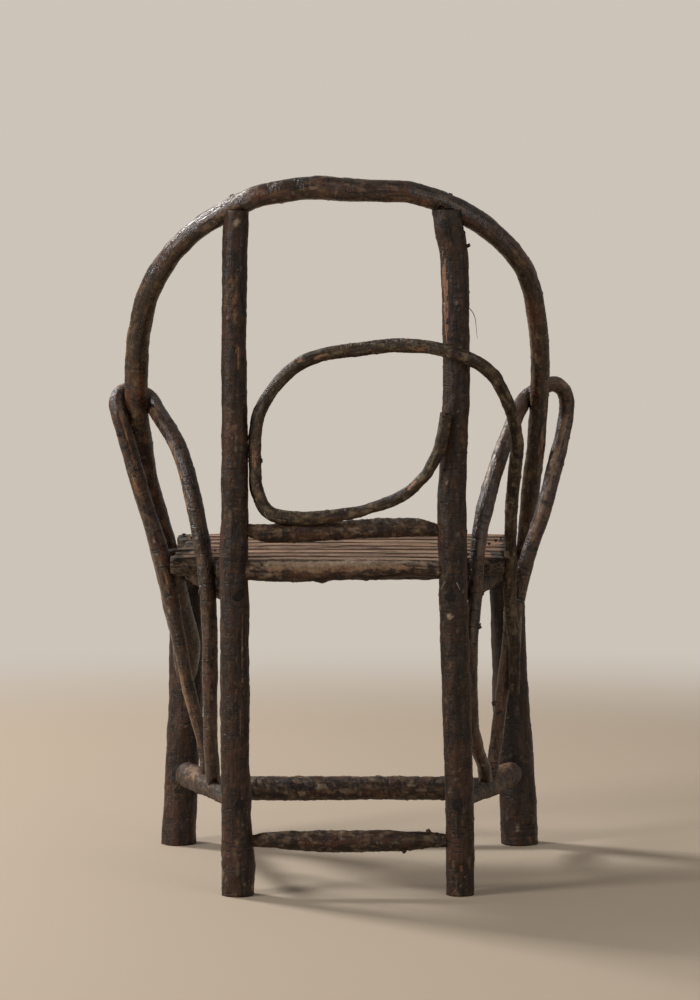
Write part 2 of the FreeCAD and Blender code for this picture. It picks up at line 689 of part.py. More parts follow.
def nail(group, head_seat, direction, length, through):
    """A nail whose head sits at head_seat; its shank cuts its own hole in each piece."""
    direction = unit(direction)
    base = head_seat - direction * nail_head_lift
    shank = skin([square(base, direction, nail_shank),
                  square(base + direction * length, direction,
                         nail_shank * nail_tip_share)])
    head = skin([square(base, direction, nail_head),
                 square(base - direction * nail_head_thickness, direction,
                        nail_head * nail_crown_share)])
    nails[group].append(shank.fuse(head))
    for name in through:
        cut_from(name, shank)


def nail_limb(group, run, spot, carrier_spot, bite, through):
    """A nail through a limb at a spot on its middle, square to it, towards its carrier."""
    points, radii = run
    nearest = min(range(1, len(points) - 1), key=lambda index: (points[index] - spot).Length)
    along = unit(points[nearest + 1] - points[nearest - 1])
    direction = carrier_spot - spot
    direction = unit(direction - along * direction.dot(along))
    seat = radii[nearest] * head_seat_share
    length = seat + radii[nearest] + rub_gap + bite
    nail(group, spot - direction * seat, direction, length, through)


for number, slat in enumerate(slats, 1):
    for rail, rail_name, leg, leg_name in (
        (side_rail_left, "seat_rail_left", left_leg, "front_leg_left"),
        (side_rail_right, "seat_rail_right", right_leg, "front_leg_right"),
    ):
        points, radii = limb_of(rail)
        leg_head = leg["points"][-1]
        carrier = rail_name
        place = slat["middle"]
        if place < leg_head.y:
            carrier = leg_name
            shift = leg_nail_shift_share * leg["radii"][-1]
            outward = math.copysign(shift, leg_head.x)
            place = leg_head.y - shift
            across = leg_head.x + outward
        else:
            rail_start = min(points[1].y, place + slat_width / 4)
            rail_end = max(points[-2].y, place - slat_width / 4)
            place = min(max(place, rail_start), rail_end)
            across = spot_on(points, radii, 1, place)[0].x
        seat = Vector(across, place, slat_top)
        nail("nails_seat", seat, Vector(0, 0, -1), slat_thickness + slat_nail_bite,
             (f"seat_slat_{number}", carrier))

for post, post_name in ((left_post, "rear_post_left"), (right_post, "rear_post_right")):
    top = post["points"][-1]
    spot = spot_on(*hoop_run, 0, top.x)[0]
    nail_limb("nails_hoop", hoop_run, spot, post["points"][-2], hoop_nail_bite,
              ("back_hoop", post_name))
hoop_nail_height = hoop_foot_height + hoop_diameter
for first, leg_name in ((0, "front_leg_left"), (crown_index, "front_leg_right")):
    spot = spot_on(*hoop_run, 2, hoop_nail_height, first)[0]
    nail_limb("nails_hoop", hoop_run, spot, spot - hoop_rear_normal, hoop_nail_bite,
              ("back_hoop", leg_name))

for run, touch, carrier_run, names in (
    (arm_left_run, left_rail_touch, limb_of(side_rail_left),
     ("arm_loop_left", "seat_rail_left")),
    (arm_left_run, left_front_touch, hoop_run, ("arm_loop_left", "back_hoop")),
    (arm_left_run, left_rear_touch, hoop_run, ("arm_loop_left", "back_hoop")),
    (arm_right_run, right_rail_touch, limb_of(side_rail_right),
     ("arm_loop_right", "seat_rail_right")),
    (arm_right_run, right_front_touch, hoop_run, ("arm_loop_right", "back_hoop")),
):
    carrier_spot = nearest_on(carrier_run, touch)
    nail_limb("nails_arms", run, touch, carrier_spot, arm_nail_bite, names)

for touch, carrier_run, names in (
    (loop_start_touch, limb_of(right_post), ("back_loop", "rear_post_right")),
    (loop_cross_touch, limb_of(right_post), ("back_loop", "rear_post_right")),
    (loop_left_touch, limb_of(left_post), ("back_loop", "rear_post_left")),
    (loop_rail_touch, back_rail_run, ("back_loop", "back_rail_lower")),
    (loop_tail_touch, arm_right_run, ("back_loop", "arm_loop_right")),
):
    carrier_spot = nearest_on(carrier_run, touch)
    nail_limb("nails_loop", back_loop_run, touch, carrier_spot, loop_nail_bite, names)

# The origin is the middle of the chair's outer box on the floor
for group, group_nails in nails.items():
    pieces[group] = Part.makeCompound(group_nails)
box = FreeCAD.BoundBox()
for shape in pieces.values():
    box.add(shape.BoundBox)
shift = Vector(-box.Center.x, -box.Center.y, -box.ZMin)
os.makedirs("parts", exist_ok=True)
for name, shape in pieces.items():
    shape.translate(shift)
    if len(shape.Solids) == 1:
        shape = shape.Solids[0]
    shape.exportStep(f"parts/{name}.step")
print("size", round(box.XLength, 1), round(box.YLength, 1), round(box.ZLength, 1), "shift", shift)
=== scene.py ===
import math

import bpy
import numpy as np
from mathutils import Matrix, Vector


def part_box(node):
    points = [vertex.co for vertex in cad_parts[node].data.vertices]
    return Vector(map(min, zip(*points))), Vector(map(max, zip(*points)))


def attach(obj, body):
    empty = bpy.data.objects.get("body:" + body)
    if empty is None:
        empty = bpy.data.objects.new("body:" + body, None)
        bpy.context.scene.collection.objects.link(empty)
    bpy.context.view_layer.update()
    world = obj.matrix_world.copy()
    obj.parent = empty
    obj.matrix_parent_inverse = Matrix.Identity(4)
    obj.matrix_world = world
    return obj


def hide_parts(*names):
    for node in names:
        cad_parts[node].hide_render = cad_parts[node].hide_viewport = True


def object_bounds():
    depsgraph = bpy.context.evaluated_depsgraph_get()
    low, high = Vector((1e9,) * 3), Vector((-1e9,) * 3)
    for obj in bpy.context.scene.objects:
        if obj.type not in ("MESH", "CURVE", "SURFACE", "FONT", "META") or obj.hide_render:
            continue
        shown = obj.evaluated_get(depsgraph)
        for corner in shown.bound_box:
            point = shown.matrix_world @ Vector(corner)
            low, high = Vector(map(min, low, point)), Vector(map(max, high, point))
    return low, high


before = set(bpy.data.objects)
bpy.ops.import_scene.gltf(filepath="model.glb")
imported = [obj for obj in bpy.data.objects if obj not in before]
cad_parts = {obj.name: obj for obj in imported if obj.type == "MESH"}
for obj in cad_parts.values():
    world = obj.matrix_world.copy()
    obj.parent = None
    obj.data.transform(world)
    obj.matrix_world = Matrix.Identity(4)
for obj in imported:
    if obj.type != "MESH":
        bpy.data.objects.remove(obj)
cadLow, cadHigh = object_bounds()
mm = 0.001

# Twig chair seen from behind: bark-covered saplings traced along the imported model's
# limbs, with a split-sapling seat. +X is the sitter's left, which is the picture's left.


# Camera

cameraLook = {
    "place": (-9.25, 4546.8, 828.0),  # mm, a little above the back loop
    "pitch": -4.24,                   # degrees, so that the floor in front still shows
    "focalPixels": 3466.0,            # focal length over one pixel of the 700 x 1000 image
    "imageSize": (700, 1000),
    "sensor": 36.0,                   # mm along the long side
}


def makeCamera(look):
    data = bpy.data.cameras.new("camera")
    data.sensor_width = look["sensor"]
    data.lens = look["focalPixels"] * look["sensor"] / look["imageSize"][1]
    data.clip_end = 60
    cam = bpy.data.objects.new("camera", data)
    cam.location = Vector(look["place"]) * mm
    pitch = math.radians(look["pitch"])
    towards = Vector((0, -math.cos(pitch), math.sin(pitch)))
    cam.rotation_euler = towards.to_track_quat("-Z", "Y").to_euler()
    bpy.context.scene.collection.objects.link(cam)
    bpy.context.scene.camera = cam


makeCamera(cameraLook)

eye = np.array(cameraLook["place"]) * mm
pitchAngle = math.radians(cameraLook["pitch"])
eyeForward = np.array((0, -math.cos(pitchAngle), math.sin(pitchAngle)))
eyeRight = np.array((-1.0, 0.0, 0.0))
eyeUp = np.cross(eyeRight, eyeForward)


def toPixel(points):
    ray = points - eye
    scale = cameraLook["focalPixels"] / (ray @ eyeForward)
    wide, high = cameraLook["imageSize"]
    return np.stack((wide / 2 + ray @ eyeRight * scale, high / 2 - ray @ eyeUp * scale), -1)


print("camera set")


# Smooth noise on a hashed lattice, from -1 to 1, the same on every run

def latticeNoise(spots, seed):
    cell = np.floor(spots)
    share = spots - cell
    share = share * share * share * (share * (share * 6 - 15) + 10)
    total = 0
    for corner in np.ndindex(2, 2, 2):
        mixed = (cell + corner) @ np.array((12.9898, 78.233, 37.719)) + seed * 4.1414
        value = np.sin(mixed) * 43758.5453
        value = (value - np.floor(value)) * 2 - 1
        total = total + value * np.prod(np.where(corner, share, 1 - share), -1)
    return total


def layeredNoise(spots, seed, layers=3):
    total, weight = 0, 1
    for layer in range(layers):
        total = total + weight * latticeNoise(spots * 2 ** layer, seed + 17 * layer)
        weight *= 0.5
    return total


# Tracing: each packed limb is cut across every few millimetres. The reach of the cut in
# twelve directions gives the middle of the limb and its radius.

traceLook = {
    "step": 4.0, "ring": 2.4, "smoothPath": 5.0, "smoothGirth": 5.0,   # mm
    "reachShare": 1.7,            # of the radius: how far out a cut still belongs to the limb
    "shiftShare": 0.6,            # of the radius: how far the middle may jump in a step
    "girthShares": (0.55, 1.5),   # how much thinner or thicker the next cut may be
    "misses": 3,                  # cuts in a row that may fail before the limb has ended
    "bend": {"bent": 0.8, "leaning": 0.1, "upright": 0.0},   # how soon the heading follows
}
directions = 12
bentStarts = {   # mm: a place inside each bent limb, the way it runs there, and its radius
    "back_hoop": ((-9, 228, 893), (1, 0, 0), 14),
    "back_loop": ((-9, 217, 695), (1, 0, 0), 8),
    "arm_loop_left": ((190, 139, 487), (0, 0, 1), 10),
    "arm_loop_right": ((-180, 159, 487), (0, 0, 1), 9),
}


def nodeCorners(node):
    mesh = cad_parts[node].data
    mesh.calc_loop_triangles()
    spots = np.array([v.co for v in mesh.vertices], float)
    return spots[np.array([t.vertices for t in mesh.loop_triangles])]


def crossAxes(heading):
    first = np.cross(heading, (0.0, 1.0, 0.0) if abs(heading[1]) < 0.9 else (0.0, 0.0, 1.0))
    first /= np.linalg.norm(first)
    return first, np.cross(heading, first)


def cutAcross(corners, spot, heading, reach):
    side = (corners - spot) @ heading
    found = []
    for a, b in ((0, 1), (1, 2), (2, 0)):
        over = (side[:, a] > 0) != (side[:, b] > 0)
        share = side[over, a] / (side[over, a] - side[over, b])
        found.append(corners[over, a] + share[:, None] * (corners[over, b] - corners[over, a]))
    found = np.concatenate(found)
    return found[np.linalg.norm(found - spot, axis=1) < reach]


def middleOfCut(points, spot, heading):
    first, second = crossAxes(heading)
    turns = np.arange(directions) * 2 * math.pi / directions
    ways = np.cos(turns)[:, None] * first + np.sin(turns)[:, None] * second
    reach = ((points - spot) @ ways.T).max(0)
    half = directions // 2
    offset = (reach[:half] - reach[half:]) / 2
    middle = spot + (offset[:, None] * ways[:half]).sum(0) / 3
    return middle, (reach[:half] + reach[half:]).mean() / 2


def walkLimb(corners, start, heading, radius, step, bend):
    look = traceLook
    thinnest, thickest = look["girthShares"]
    spots, radii = [], []
    spot, girth, misses = start.copy(), radius, 0
    while len(spots) < 1000:
        points = cutAcross(corners, spot, heading, look["reachShare"] * girth)
        good = len(points) > 7
        if good:
            middle, found = middleOfCut(points, spot, heading)
            near = np.linalg.norm(middle - spot) < look["shiftShare"] * girth
            good = near and thinnest * girth < found < thickest * girth
        if good:
            misses = 0
            if len(spots) > 1:
                run = middle - spots[-2]
                run /= np.linalg.norm(run)
                heading = heading + bend * (run - heading)
                heading /= np.linalg.norm(heading)
            spots.append(middle)
            radii.append(found)
            spot, girth = middle, 0.7 * girth + 0.3 * found
        else:
            misses += 1
            if misses > look["misses"]:
                break
        spot = spot + heading * step
    spots, radii = np.array(spots), np.array(radii)
    # the last cut lies up to a step inside the limb's end
    last = spots[-1]
    ahead = (corners.reshape(-1, 3) - last) @ heading
    across = np.linalg.norm(corners.reshape(-1, 3) - last - ahead[:, None] * heading, axis=1)
    close = (across < 1.5 * radii[-1]) & (ahead > 0) & (ahead < 3 * step)
    if close.any() and ahead[close].max() > 0.05 * step:
        spots = np.vstack((spots, last + heading * ahead[close].max()))
        radii = np.append(radii, radii[-1])
    return spots, radii


def smoothRun(values, sigma):
    reach = int(3 * sigma) + 1
    weights = np.exp(-0.5 * (np.arange(-reach, reach + 1) / sigma) ** 2)
    weights /= weights.sum()
    values = values.reshape(len(values), -1)
    head = 2 * values[0] - values[reach:0:-1]
    tail = 2 * values[-1] - values[-2:-reach - 2:-1]
    padded = np.vstack((head, values, tail))
    return np.stack([np.convolve(column, weights, "valid") for column in padded.T], -1)


def startOf(node):
    if node in bentStarts:
        spot, heading, radius = bentStarts[node]
        return np.array(spot) * mm, np.array(heading, float), radius * mm, 3 * radius * mm
    # a leaning limb's box is wider than the limb, so its own middle is looked for first
    low, high = (np.array(corner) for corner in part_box(node))
    span = high - low
    heading = np.zeros(3)
    heading[span.argmax()] = 1
    return (low + high) / 2, heading, np.delete(span, span.argmax()).min() / 2.6, 60 * mm


def traceLimb(node, upright, trim):
    corners = nodeCorners(node)
    step = traceLook["step"] * mm
    start, heading, radius, reach = startOf(node)
    start, radius = middleOfCut(cutAcross(corners, start, heading, reach), start, heading)
    bend = traceLook["bend"]["bent" if node in bentStarts else "upright" if upright else "leaning"]
    forth, forthRadii = walkLimb(corners, start, heading, radius, step, bend)
    back, backRadii = walkLimb(corners, start, -heading, radius, step, bend)
    spots = np.vstack((back[:0:-1], forth))
    radii = np.concatenate((backRadii[:0:-1], forthRadii))
    runs = np.linalg.norm(np.diff(spots, axis=0), axis=1)
    along = np.concatenate(([0], np.cumsum(runs)))
    first, last = trim[0] * mm, along[-1] - trim[1] * mm
    ring = traceLook["ring"] * mm
    count = max(8, int((last - first) / ring) + 1)
    even = np.linspace(first, last, count)
    path = np.stack([np.interp(even, along, spots[:, k]) for k in range(3)], -1)
    girth = np.interp(even, along, radii)
    path = smoothRun(path, traceLook["smoothPath"] * mm / ring)
    girth = smoothRun(girth, traceLook["smoothGirth"] * mm / ring)[:, 0]
    tangent = np.gradient(path, axis=0)
    tangent /= np.linalg.norm(tangent, axis=1)[:, None]
    if upright:
        tangent[:] = heading          # level rings, so that feet stand flat
    # the side direction is carried along the run without twist
    side = np.empty_like(path)
    reference = np.array((0.0, 1.0, 0.0) if abs(tangent[0, 1]) < 0.9 else (0.0, 0.0, 1.0))
    for i, run in enumerate(tangent):
        reference = reference - run * (reference @ run)
        reference /= np.linalg.norm(reference)
        side[i] = reference
    return {"along": even - first, "path": path, "girth": girth, "run": tangent,
            "side": side, "rise": np.cross(tangent, side), "pixels": toPixel(path)}


# Nail heads: where each one's underside lies

nailLook = {"headHigh": 1.4, "seatReach": 6.0}   # mm


def nailSeats():
    seats = []
    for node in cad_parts:
        if not node.startswith("nails_"):
            continue
        groups = []                   # one set of corners for each nail
        for triangle in nodeCorners(node):
            keys = {tuple(np.round(corner / mm, 2)) for corner in triangle}
            for group in [group for group in groups if group & keys]:
                groups.remove(group)
                keys |= group
            groups.append(keys)
        for group in groups:
            spots = np.array(sorted(group)) * mm
            tip = spots[np.linalg.norm(spots - spots.mean(0), axis=1).argmax()]
            outward = spots.mean(0) - tip
            outward /= np.linalg.norm(outward)
            height = spots @ outward
            under = np.abs(height - height.max() + nailLook["headHigh"] * mm) < 0.4 * mm
            seats.append(spots[under].mean(0))
    return np.array(seats)


nails = nailSeats()
print(f"{len(nails)} nail heads found")


# A limb's skin as a grid of rings, with the relief and the colour masks laid on it.
# Marks are placed by pixels of the 700 x 1000 image, through the camera.

class Bark:
    def __init__(self, limb, sides, seed):
        self.limb, self.seed, self.parts = limb, seed, []
        self.turns = np.arange(sides) * 2 * math.pi / sides
        shape = (len(limb["along"]), sides)
        self.lift = np.zeros(shape)
        self.bare = np.zeros(shape)       # 1 where the bark is gone
        self.dark = np.zeros(shape)       # 1 in cracks, knots and dirt
        self.pale = np.zeros(shape)       # 1 on grey flakes and fibres
        self.light = np.full(shape, 0.5)  # painted light and shade, and the bark's own tone, from 0 to 1
        # straight-limb coordinates in metres: along, and two across
        girth = limb["girth"][:, None]
        along = np.broadcast_to(limb["along"][:, None], shape)
        self.grid = np.stack((along, girth * np.cos(self.turns), girth * np.sin(self.turns)), -1)

    def noise(self, lengthMm, widthMm, seed, layers=2):
        scale = np.array((1 / lengthMm, 1 / widthMm, 1 / widthMm)) / mm
        return layeredNoise(self.grid * scale + self.seed * 7.3, seed, layers)

    def offsets(self, place, slant=0.0):
        # distance along and round the limb from a place, in metres
        along = self.limb["along"][:, None] - place[0]
        turn = (self.turns[None, :] - place[1] + math.pi) % (2 * math.pi) - math.pi
        return along + 0 * turn, turn * self.limb["girth"][:, None] - slant * along

    def place(self, pixel):
        limb = self.limb
        away = np.linalg.norm(limb["pixels"] - np.array(pixel, float), axis=1)
        i = int(away.argmin())
        j = min(max(i, 1), len(away) - 2)
        flow = limb["pixels"][j + 1] - limb["pixels"][j - 1]
        flow /= np.linalg.norm(flow) + 1e-9
        across = np.array((-flow[1], flow[0]))
        depth = (limb["path"][i] - eye) @ eyeForward
        radiusPixels = limb["girth"][i] * cameraLook["focalPixels"] / depth
        share = float(np.clip((np.array(pixel) - limb["pixels"][i]) @ across / radiusPixels, -1, 1))
        outward = across[0] * eyeRight - across[1] * eyeUp
        toEye = eye - limb["path"][i]
        toEye /= np.linalg.norm(toEye)
        way = share * outward + math.sqrt(1 - share * share) * toEye
        return limb["along"][i], math.atan2(way @ limb["rise"][i], way @ limb["side"][i])

    def outwardAt(self, place):
        i = int(np.abs(self.limb["along"] - place[0]).argmin())
        way = math.cos(place[1]) * self.limb["side"][i] + math.sin(place[1]) * self.limb["rise"][i]
        return i, way


# Relief: every step adds to the lift of the skin, in metres, and to the colour masks

def patch(along, around, length, width, rough, edge=0.12):
    # 1 inside a ragged oval, 0 outside
    away = np.sqrt((along / (length * mm)) ** 2 + (around / (width * mm)) ** 2)
    return np.clip((1 - away + rough) / edge, 0, 1)


def growBark(bark, look):
    # uneven girth, lumps and furrows of the living stem
    bark.lift += look["swell"] * mm * bark.noise(90, 30, 1, 1)
    bark.lift += look["lumps"] * mm * bark.noise(22, 12, 2)
    bark.lift += look["fine"] * mm * bark.noise(5, 4.5, 6, 3)
    furrow = np.abs(bark.noise(70, 6, 3))
    bark.lift -= look["furrows"] * mm * np.clip(1 - 5 * furrow, 0, 1)
    bark.dark += 0.5 * np.clip(1 - 6 * furrow, 0, 1) * np.clip(bark.noise(60, 20, 4) + 0.3, 0, 1)
    # shallow wrinkles across the limb, where the stem was bent or dried
    rings = np.sin(bark.grid[..., 0] / mm / 1.1 + 3 * bark.noise(9, 7, 5))
    bark.lift += look["rings"] * mm * rings
    bark.light += 0.16 * bark.noise(70, 18, 7, 2)
    # curled scales of old bark
    scales = np.clip(bark.noise(6, 5, 8, 2) - 1.05 + look["scales"], 0, 0.3) / 0.3
    bark.lift += 0.9 * mm * scales
    bark.pale = np.maximum(bark.pale, 0.35 * scales)


def addKnot(bark, place, size=6.0, height=2.5, eyeShare=0.4):
    along, around = bark.offsets(place)
    away = np.sqrt((along / 1.25) ** 2 + around ** 2) / (size * mm)
    bark.lift += height * mm * (np.exp(-away ** 2) - 0.75 * np.exp(-(away / eyeShare) ** 2))
    bark.dark += 0.9 * np.exp(-(away / eyeShare) ** 2)
    bark.dark += 0.35 * np.exp(-((away - 1.1) / 0.2) ** 2)


def addSpot(bark, place, length=3.0, width=2.0, depth=0.5, tone=0.9):
    # a small dark hollow
    along, around = bark.offsets(place)
    inside = patch(along, around, length, width, 0.3 * bark.noise(3, 3, 31), 0.5)
    bark.lift -= depth * mm * inside
    bark.dark += tone * inside


def addSwelling(bark, place, length=20.0, height=2.0, spread=1.0):
    along, around = bark.offsets(place)
    turn = around / bark.limb["girth"][:, None]
    bark.lift += height * mm * np.exp(-(along / (length * mm)) ** 2) * np.exp(-(turn / spread) ** 2)


def addShadeAndTone(bark, place, length=30.0, width=8.0, tone=0.3, slant=0.0):
    # a stretch of bark lighter than the rest, or darker where the tone is below 0: painted light on lit
    # sides and tops, painted shade on shaded sides and undersides, and here and there the bark's own
    # tone
    along, around = bark.offsets(place, slant)
    bark.light += tone * patch(along, around, length, width, 0.45 * bark.noise(10, 4, 15, 3), 0.8)


def addPeel(bark, place, length=20.0, width=6.0, depth=0.7, ragged=0.35, tone=1.0, slant=0.0):
    along, around = bark.offsets(place, slant)
    rough = ragged * bark.noise(9, 5, 11, 3)
    inside = patch(along, around, length, width, rough)
    rim = np.clip(patch(along, around, length * 1.06, width * 1.25, rough) - inside, 0, 1)
    bark.lift += mm * (0.35 * depth * rim - depth * inside)
    bark.dark += 0.5 * rim
    bark.bare = np.maximum(bark.bare, tone * inside)


def addFlake(bark, place, length=10.0, width=4.0, height=1.3, tone=0.6):
    along, around = bark.offsets(place)
    inside = patch(along, around, length, width, 0.3 * bark.noise(6, 4, 13), 0.25)
    tilt = 0.4 + 0.6 * np.clip(0.5 + along / (2 * length * mm), 0, 1)
    bark.lift += height * mm * inside * tilt
    bark.pale = np.maximum(bark.pale, tone * inside)


def addCrack(bark, place, length=40.0, width=0.9, depth=1.0, wander=2.0, slant=0.0, tone=0.9):
    along, around = bark.offsets(place, slant)
    drift = wander * mm * latticeNoise(np.stack((along / (18 * mm), along * 0, along * 0), -1),
                                       bark.seed + 3)
    taper = np.clip(1.3 - np.abs(along) / (length * mm / 1.5), 0, 1)
    inside = np.exp(-(np.abs(around - drift) / (width * mm)) ** 2) * taper
    bark.lift -= depth * mm * inside
    bark.dark += tone * inside


def addRing(bark, place, width=0.8, depth=0.6, half=90.0, wander=1.0, tone=0.8):
    along, around = bark.offsets(place)
    turn = np.degrees(around / bark.limb["girth"][:, None])
    drift = wander * mm * latticeNoise(np.stack((turn / 25, turn * 0, turn * 0), -1), bark.seed + 5)
    inside = np.exp(-((along - drift) / (width * mm)) ** 2) * np.clip((half - np.abs(turn)) / 20, 0, 1)
    bark.lift -= depth * mm * inside
    bark.dark += tone * inside


def addWhittled(bark, atStart, length=18.0):
    # a rung's end pared down to its tenon
    along = bark.limb["along"]
    reach = (along if atStart else along[-1] - along)[:, None] / (length * mm)
    inside = np.clip(1.25 - reach + 0.2 * bark.noise(8, 6, 21), 0, 1)
    facets = np.cos(bark.turns * 5 + bark.seed)[None, :]
    bark.lift -= inside * mm * (0.3 + 0.3 * facets)
    bark.light -= 0.25 * inside


def scatterMarks(bark, draws, look):
    # small marks over the whole limb, the unseen sides too
    lengthMm = bark.limb["along"][-1] / mm
    for kind, every in look.items():
        for _ in range(int(lengthMm / every)):
            place = (draws.uniform(0.04, 0.96) * lengthMm * mm, draws.uniform(-math.pi, math.pi))
            size = draws.uniform(0.6, 1.3)
            if kind == "knots":
                addKnot(bark, place, 4.5 * size, 1.3 * size)
            elif kind == "peels":
                addPeel(bark, place, 11 * size * size, 2.2 * size, 0.5, 0.5, draws.uniform(0.35, 0.75))
            elif kind == "flakes":
                addFlake(bark, place, 3.5 * size, 1.6 * size, 0.7, draws.uniform(0.2, 0.6))
            elif kind == "cracks":
                addCrack(bark, place, 34 * size, 0.7, 0.7)
            elif kind == "rings":
                addRing(bark, place, 0.9, 0.4, 60 * size, 1.0, 0.55)
            elif kind == "swellings":
                addSwelling(bark, place, 22 * size, 1.0 * size, 0.9)
            elif kind == "spots":
                addSpot(bark, place, 2.4 * size, 1.3 * size, 0.3, 0.7)


def seatNails(bark):
    # the skin rises or sinks to the underside of each nail head that lies on this limb
    limb = bark.limb
    for seat in nails:
        away = np.linalg.norm(limb["path"] - seat, axis=1)
        i = int(away.argmin())
        if away[i] > 1.3 * limb["girth"][i]:
            continue
        spoke = seat - limb["path"][i]
        place = limb["along"][i], math.atan2(spoke @ limb["rise"][i], spoke @ limb["side"][i])
        along, around = bark.offsets(place)
        near = np.exp(-((along ** 2 + around ** 2) / (nailLook["seatReach"] * mm) ** 2) ** 2)
        bark.lift += near * (away[i] - limb["girth"][i] + 0.15 * mm - bark.lift)
        bark.dark += 0.45 * near


stubRings = ((0, 1.25), (0.35, 1.05), (0.7, 0.95), (1.0, 0.85), (1.0, 0.45))   # along, girth


def addStub(bark, place, length=9.0, width=5.0, lean=0.5, sides=10):
    # a short broken twig that leaves the limb at a slant
    limb = bark.limb
    i, outward = bark.outwardAt(place)
    way = outward + lean * limb["run"][i]
    way /= np.linalg.norm(way)
    start = limb["path"][i] + outward * limb["girth"][i] * 0.6
    first, second = crossAxes(way)
    total = limb["girth"][i] * 0.4 + length * mm
    rings, grains = [], []
    for step, (share, girthShare) in enumerate(stubRings):
        radius = width / 2 * mm * girthShare
        for j in range(sides):
            turn = j * 2 * math.pi / sides
            wobble = 1 + 0.12 * math.sin(3 * turn + step)
            rings.append(start + way * total * (share + 0.05 * math.sin(2 * turn) * (step > 2))
                         + radius * wobble * (math.cos(turn) * first + math.sin(turn) * second))
            grains.append((place[0] + share * total, radius * math.cos(turn), radius * math.sin(turn)))
    bark.parts.append({"spots": np.array(rings), "rows": len(stubRings), "sides": sides,
                       "grain": grains, "bare": np.array([0, 0, 0, 0.4, 0.8]).repeat(sides),
                       "dark": 0.4, "pale": 0.0, "light": 0.45})


def addFibre(bark, place, length=22.0, width=1.4, lean=1.0, droop=0.6, curl=0.0, tone=0.5, sides=6):
    # a loose strip of bark that hangs from the limb
    limb = bark.limb
    i, outward = bark.outwardAt(place)
    spot = limb["path"][i] + outward * limb["girth"][i] * 0.9
    way = outward + lean * limb["run"][i]
    way /= np.linalg.norm(way)
    rings, grains = [], []
    steps = 10
    for step in range(steps):
        share = step / (steps - 1)
        first, second = crossAxes(way)
        radius = width / 2 * mm * (1 - 0.7 * share)
        for j in range(sides):
            turn = j * 2 * math.pi / sides
            rings.append(spot + radius * (math.cos(turn) * first + 0.5 * math.sin(turn) * second))
            grains.append((place[0] + share * length * mm, radius * math.cos(turn),
                           radius * math.sin(turn)))
        way = way + (np.array((0, 0, -droop)) + curl * math.sin(5 * share) * first) * (2 / steps)
        way /= np.linalg.norm(way)
        spot = spot + way * length * mm / (steps - 1)
    bark.parts.append({"spots": np.array(rings), "rows": steps, "sides": sides, "grain": grains,
                       "bare": 0.0, "dark": 0.1, "pale": tone, "light": 0.5})


# Skins: rings of the lifted surface, closed by slightly rounded ends

boxMargin = 0.2 * mm
maskNames = ("bare", "dark", "pale", "light")
endLook = {
    "rings": ((0.96, 0.3), (0.7, 0.4), (0.35, 0.4), (0.01, 0.4)),   # share of the girth, mm out
    "masks": {"bare": 0.0, "dark": 1.0, "pale": 0.0, "light": 0.2},  # old dirty wood
    "leastGirth": 0.45,                                             # share of the traced girth
}


def gridFaces(rows, sides, first=0, flip=False):
    faces = []
    for i in range(rows - 1):
        for j in range(sides):
            k = (j + 1) % sides
            loop = (first + i * sides + j, first + i * sides + k,
                    first + (i + 1) * sides + k, first + (i + 1) * sides + j)
            faces.append(loop[::-1] if flip else loop)
    return faces


def writeLimb(name, bark, look, nodes):
    limb = bark.limb
    radius = limb["girth"][:, None] + bark.lift
    radius = np.maximum(radius, endLook["leastGirth"] * limb["girth"][:, None])
    outward = (np.cos(bark.turns)[None, :, None] * limb["side"][:, None]
               + np.sin(bark.turns)[None, :, None] * limb["rise"][:, None])
    spots = limb["path"][:, None] + radius[..., None] * outward
    sides = spots.shape[1]
    skin, grain = [*spots], [*bark.grid]
    columns = {key: [*np.clip(getattr(bark, key), 0, 1)] for key in maskNames}
    for row in (0, -1):
        away = limb["run"][row] * (-1 if row == 0 else 1)
        for shrink, push in endLook["rings"]:
            ring = limb["path"][row] + (spots[row] - limb["path"][row]) * shrink + away * push * mm
            at = 0 if row == 0 else len(skin)
            skin.insert(at, ring)
            grain.insert(at, bark.grid[row] * (1, shrink, shrink))
            for key in maskNames:
                columns[key].insert(at, np.full(sides, endLook["masks"][key]))
    total = len(skin)
    faces = gridFaces(total, sides)
    faces += [tuple(range(sides))[::-1], tuple(range((total - 1) * sides, total * sides))]
    vertices = [*np.array(skin).reshape(-1, 3)]
    grains = [*np.array(grain).reshape(-1, 3)]
    columns = {key: [*np.array(rows).reshape(-1)] for key, rows in columns.items()}
    for part in bark.parts:
        first, count = len(vertices), len(part["spots"])
        vertices.extend(part["spots"])
        faces.extend(gridFaces(part["rows"], part["sides"], first))
        last = first + count - part["sides"]
        faces.append(tuple(range(first, first + part["sides"]))[::-1])
        faces.append(tuple(range(last, last + part["sides"])))
        grains.extend(part["grain"])
        for key in maskNames:
            columns[key].extend(np.broadcast_to(part[key], count))
    return writeMesh(name, vertices, faces, grains, columns, look, nodes)


def writeMesh(name, vertices, faces, grains, columns, look, nodes):
    spots = np.clip(np.array(vertices), np.array(cadLow) + boxMargin * np.array((1, 1, 0)),
                    np.array(cadHigh) - boxMargin)
    mesh = bpy.data.meshes.new(name)
    mesh.from_pydata([tuple(v) for v in spots], [], faces)
    attribute = mesh.attributes.new("grain", "FLOAT_VECTOR", "POINT")
    attribute.data.foreach_set("vector", np.array(grains, np.float32).reshape(-1))
    for key, values in columns.items():
        attribute = mesh.attributes.new(key, "FLOAT", "POINT")
        attribute.data.foreach_set("value", np.clip(np.array(values, np.float32), 0, 1))
    mesh.polygons.foreach_set("use_smooth", [True] * len(mesh.polygons))
    mesh.update()
    mesh.validate()
    piece = bpy.data.objects.new(name, mesh)
    bpy.context.scene.collection.objects.link(piece)
    mesh.materials.append(look["material"])
    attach(piece, "root")
    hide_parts(*nodes)
    return piece


# Materials

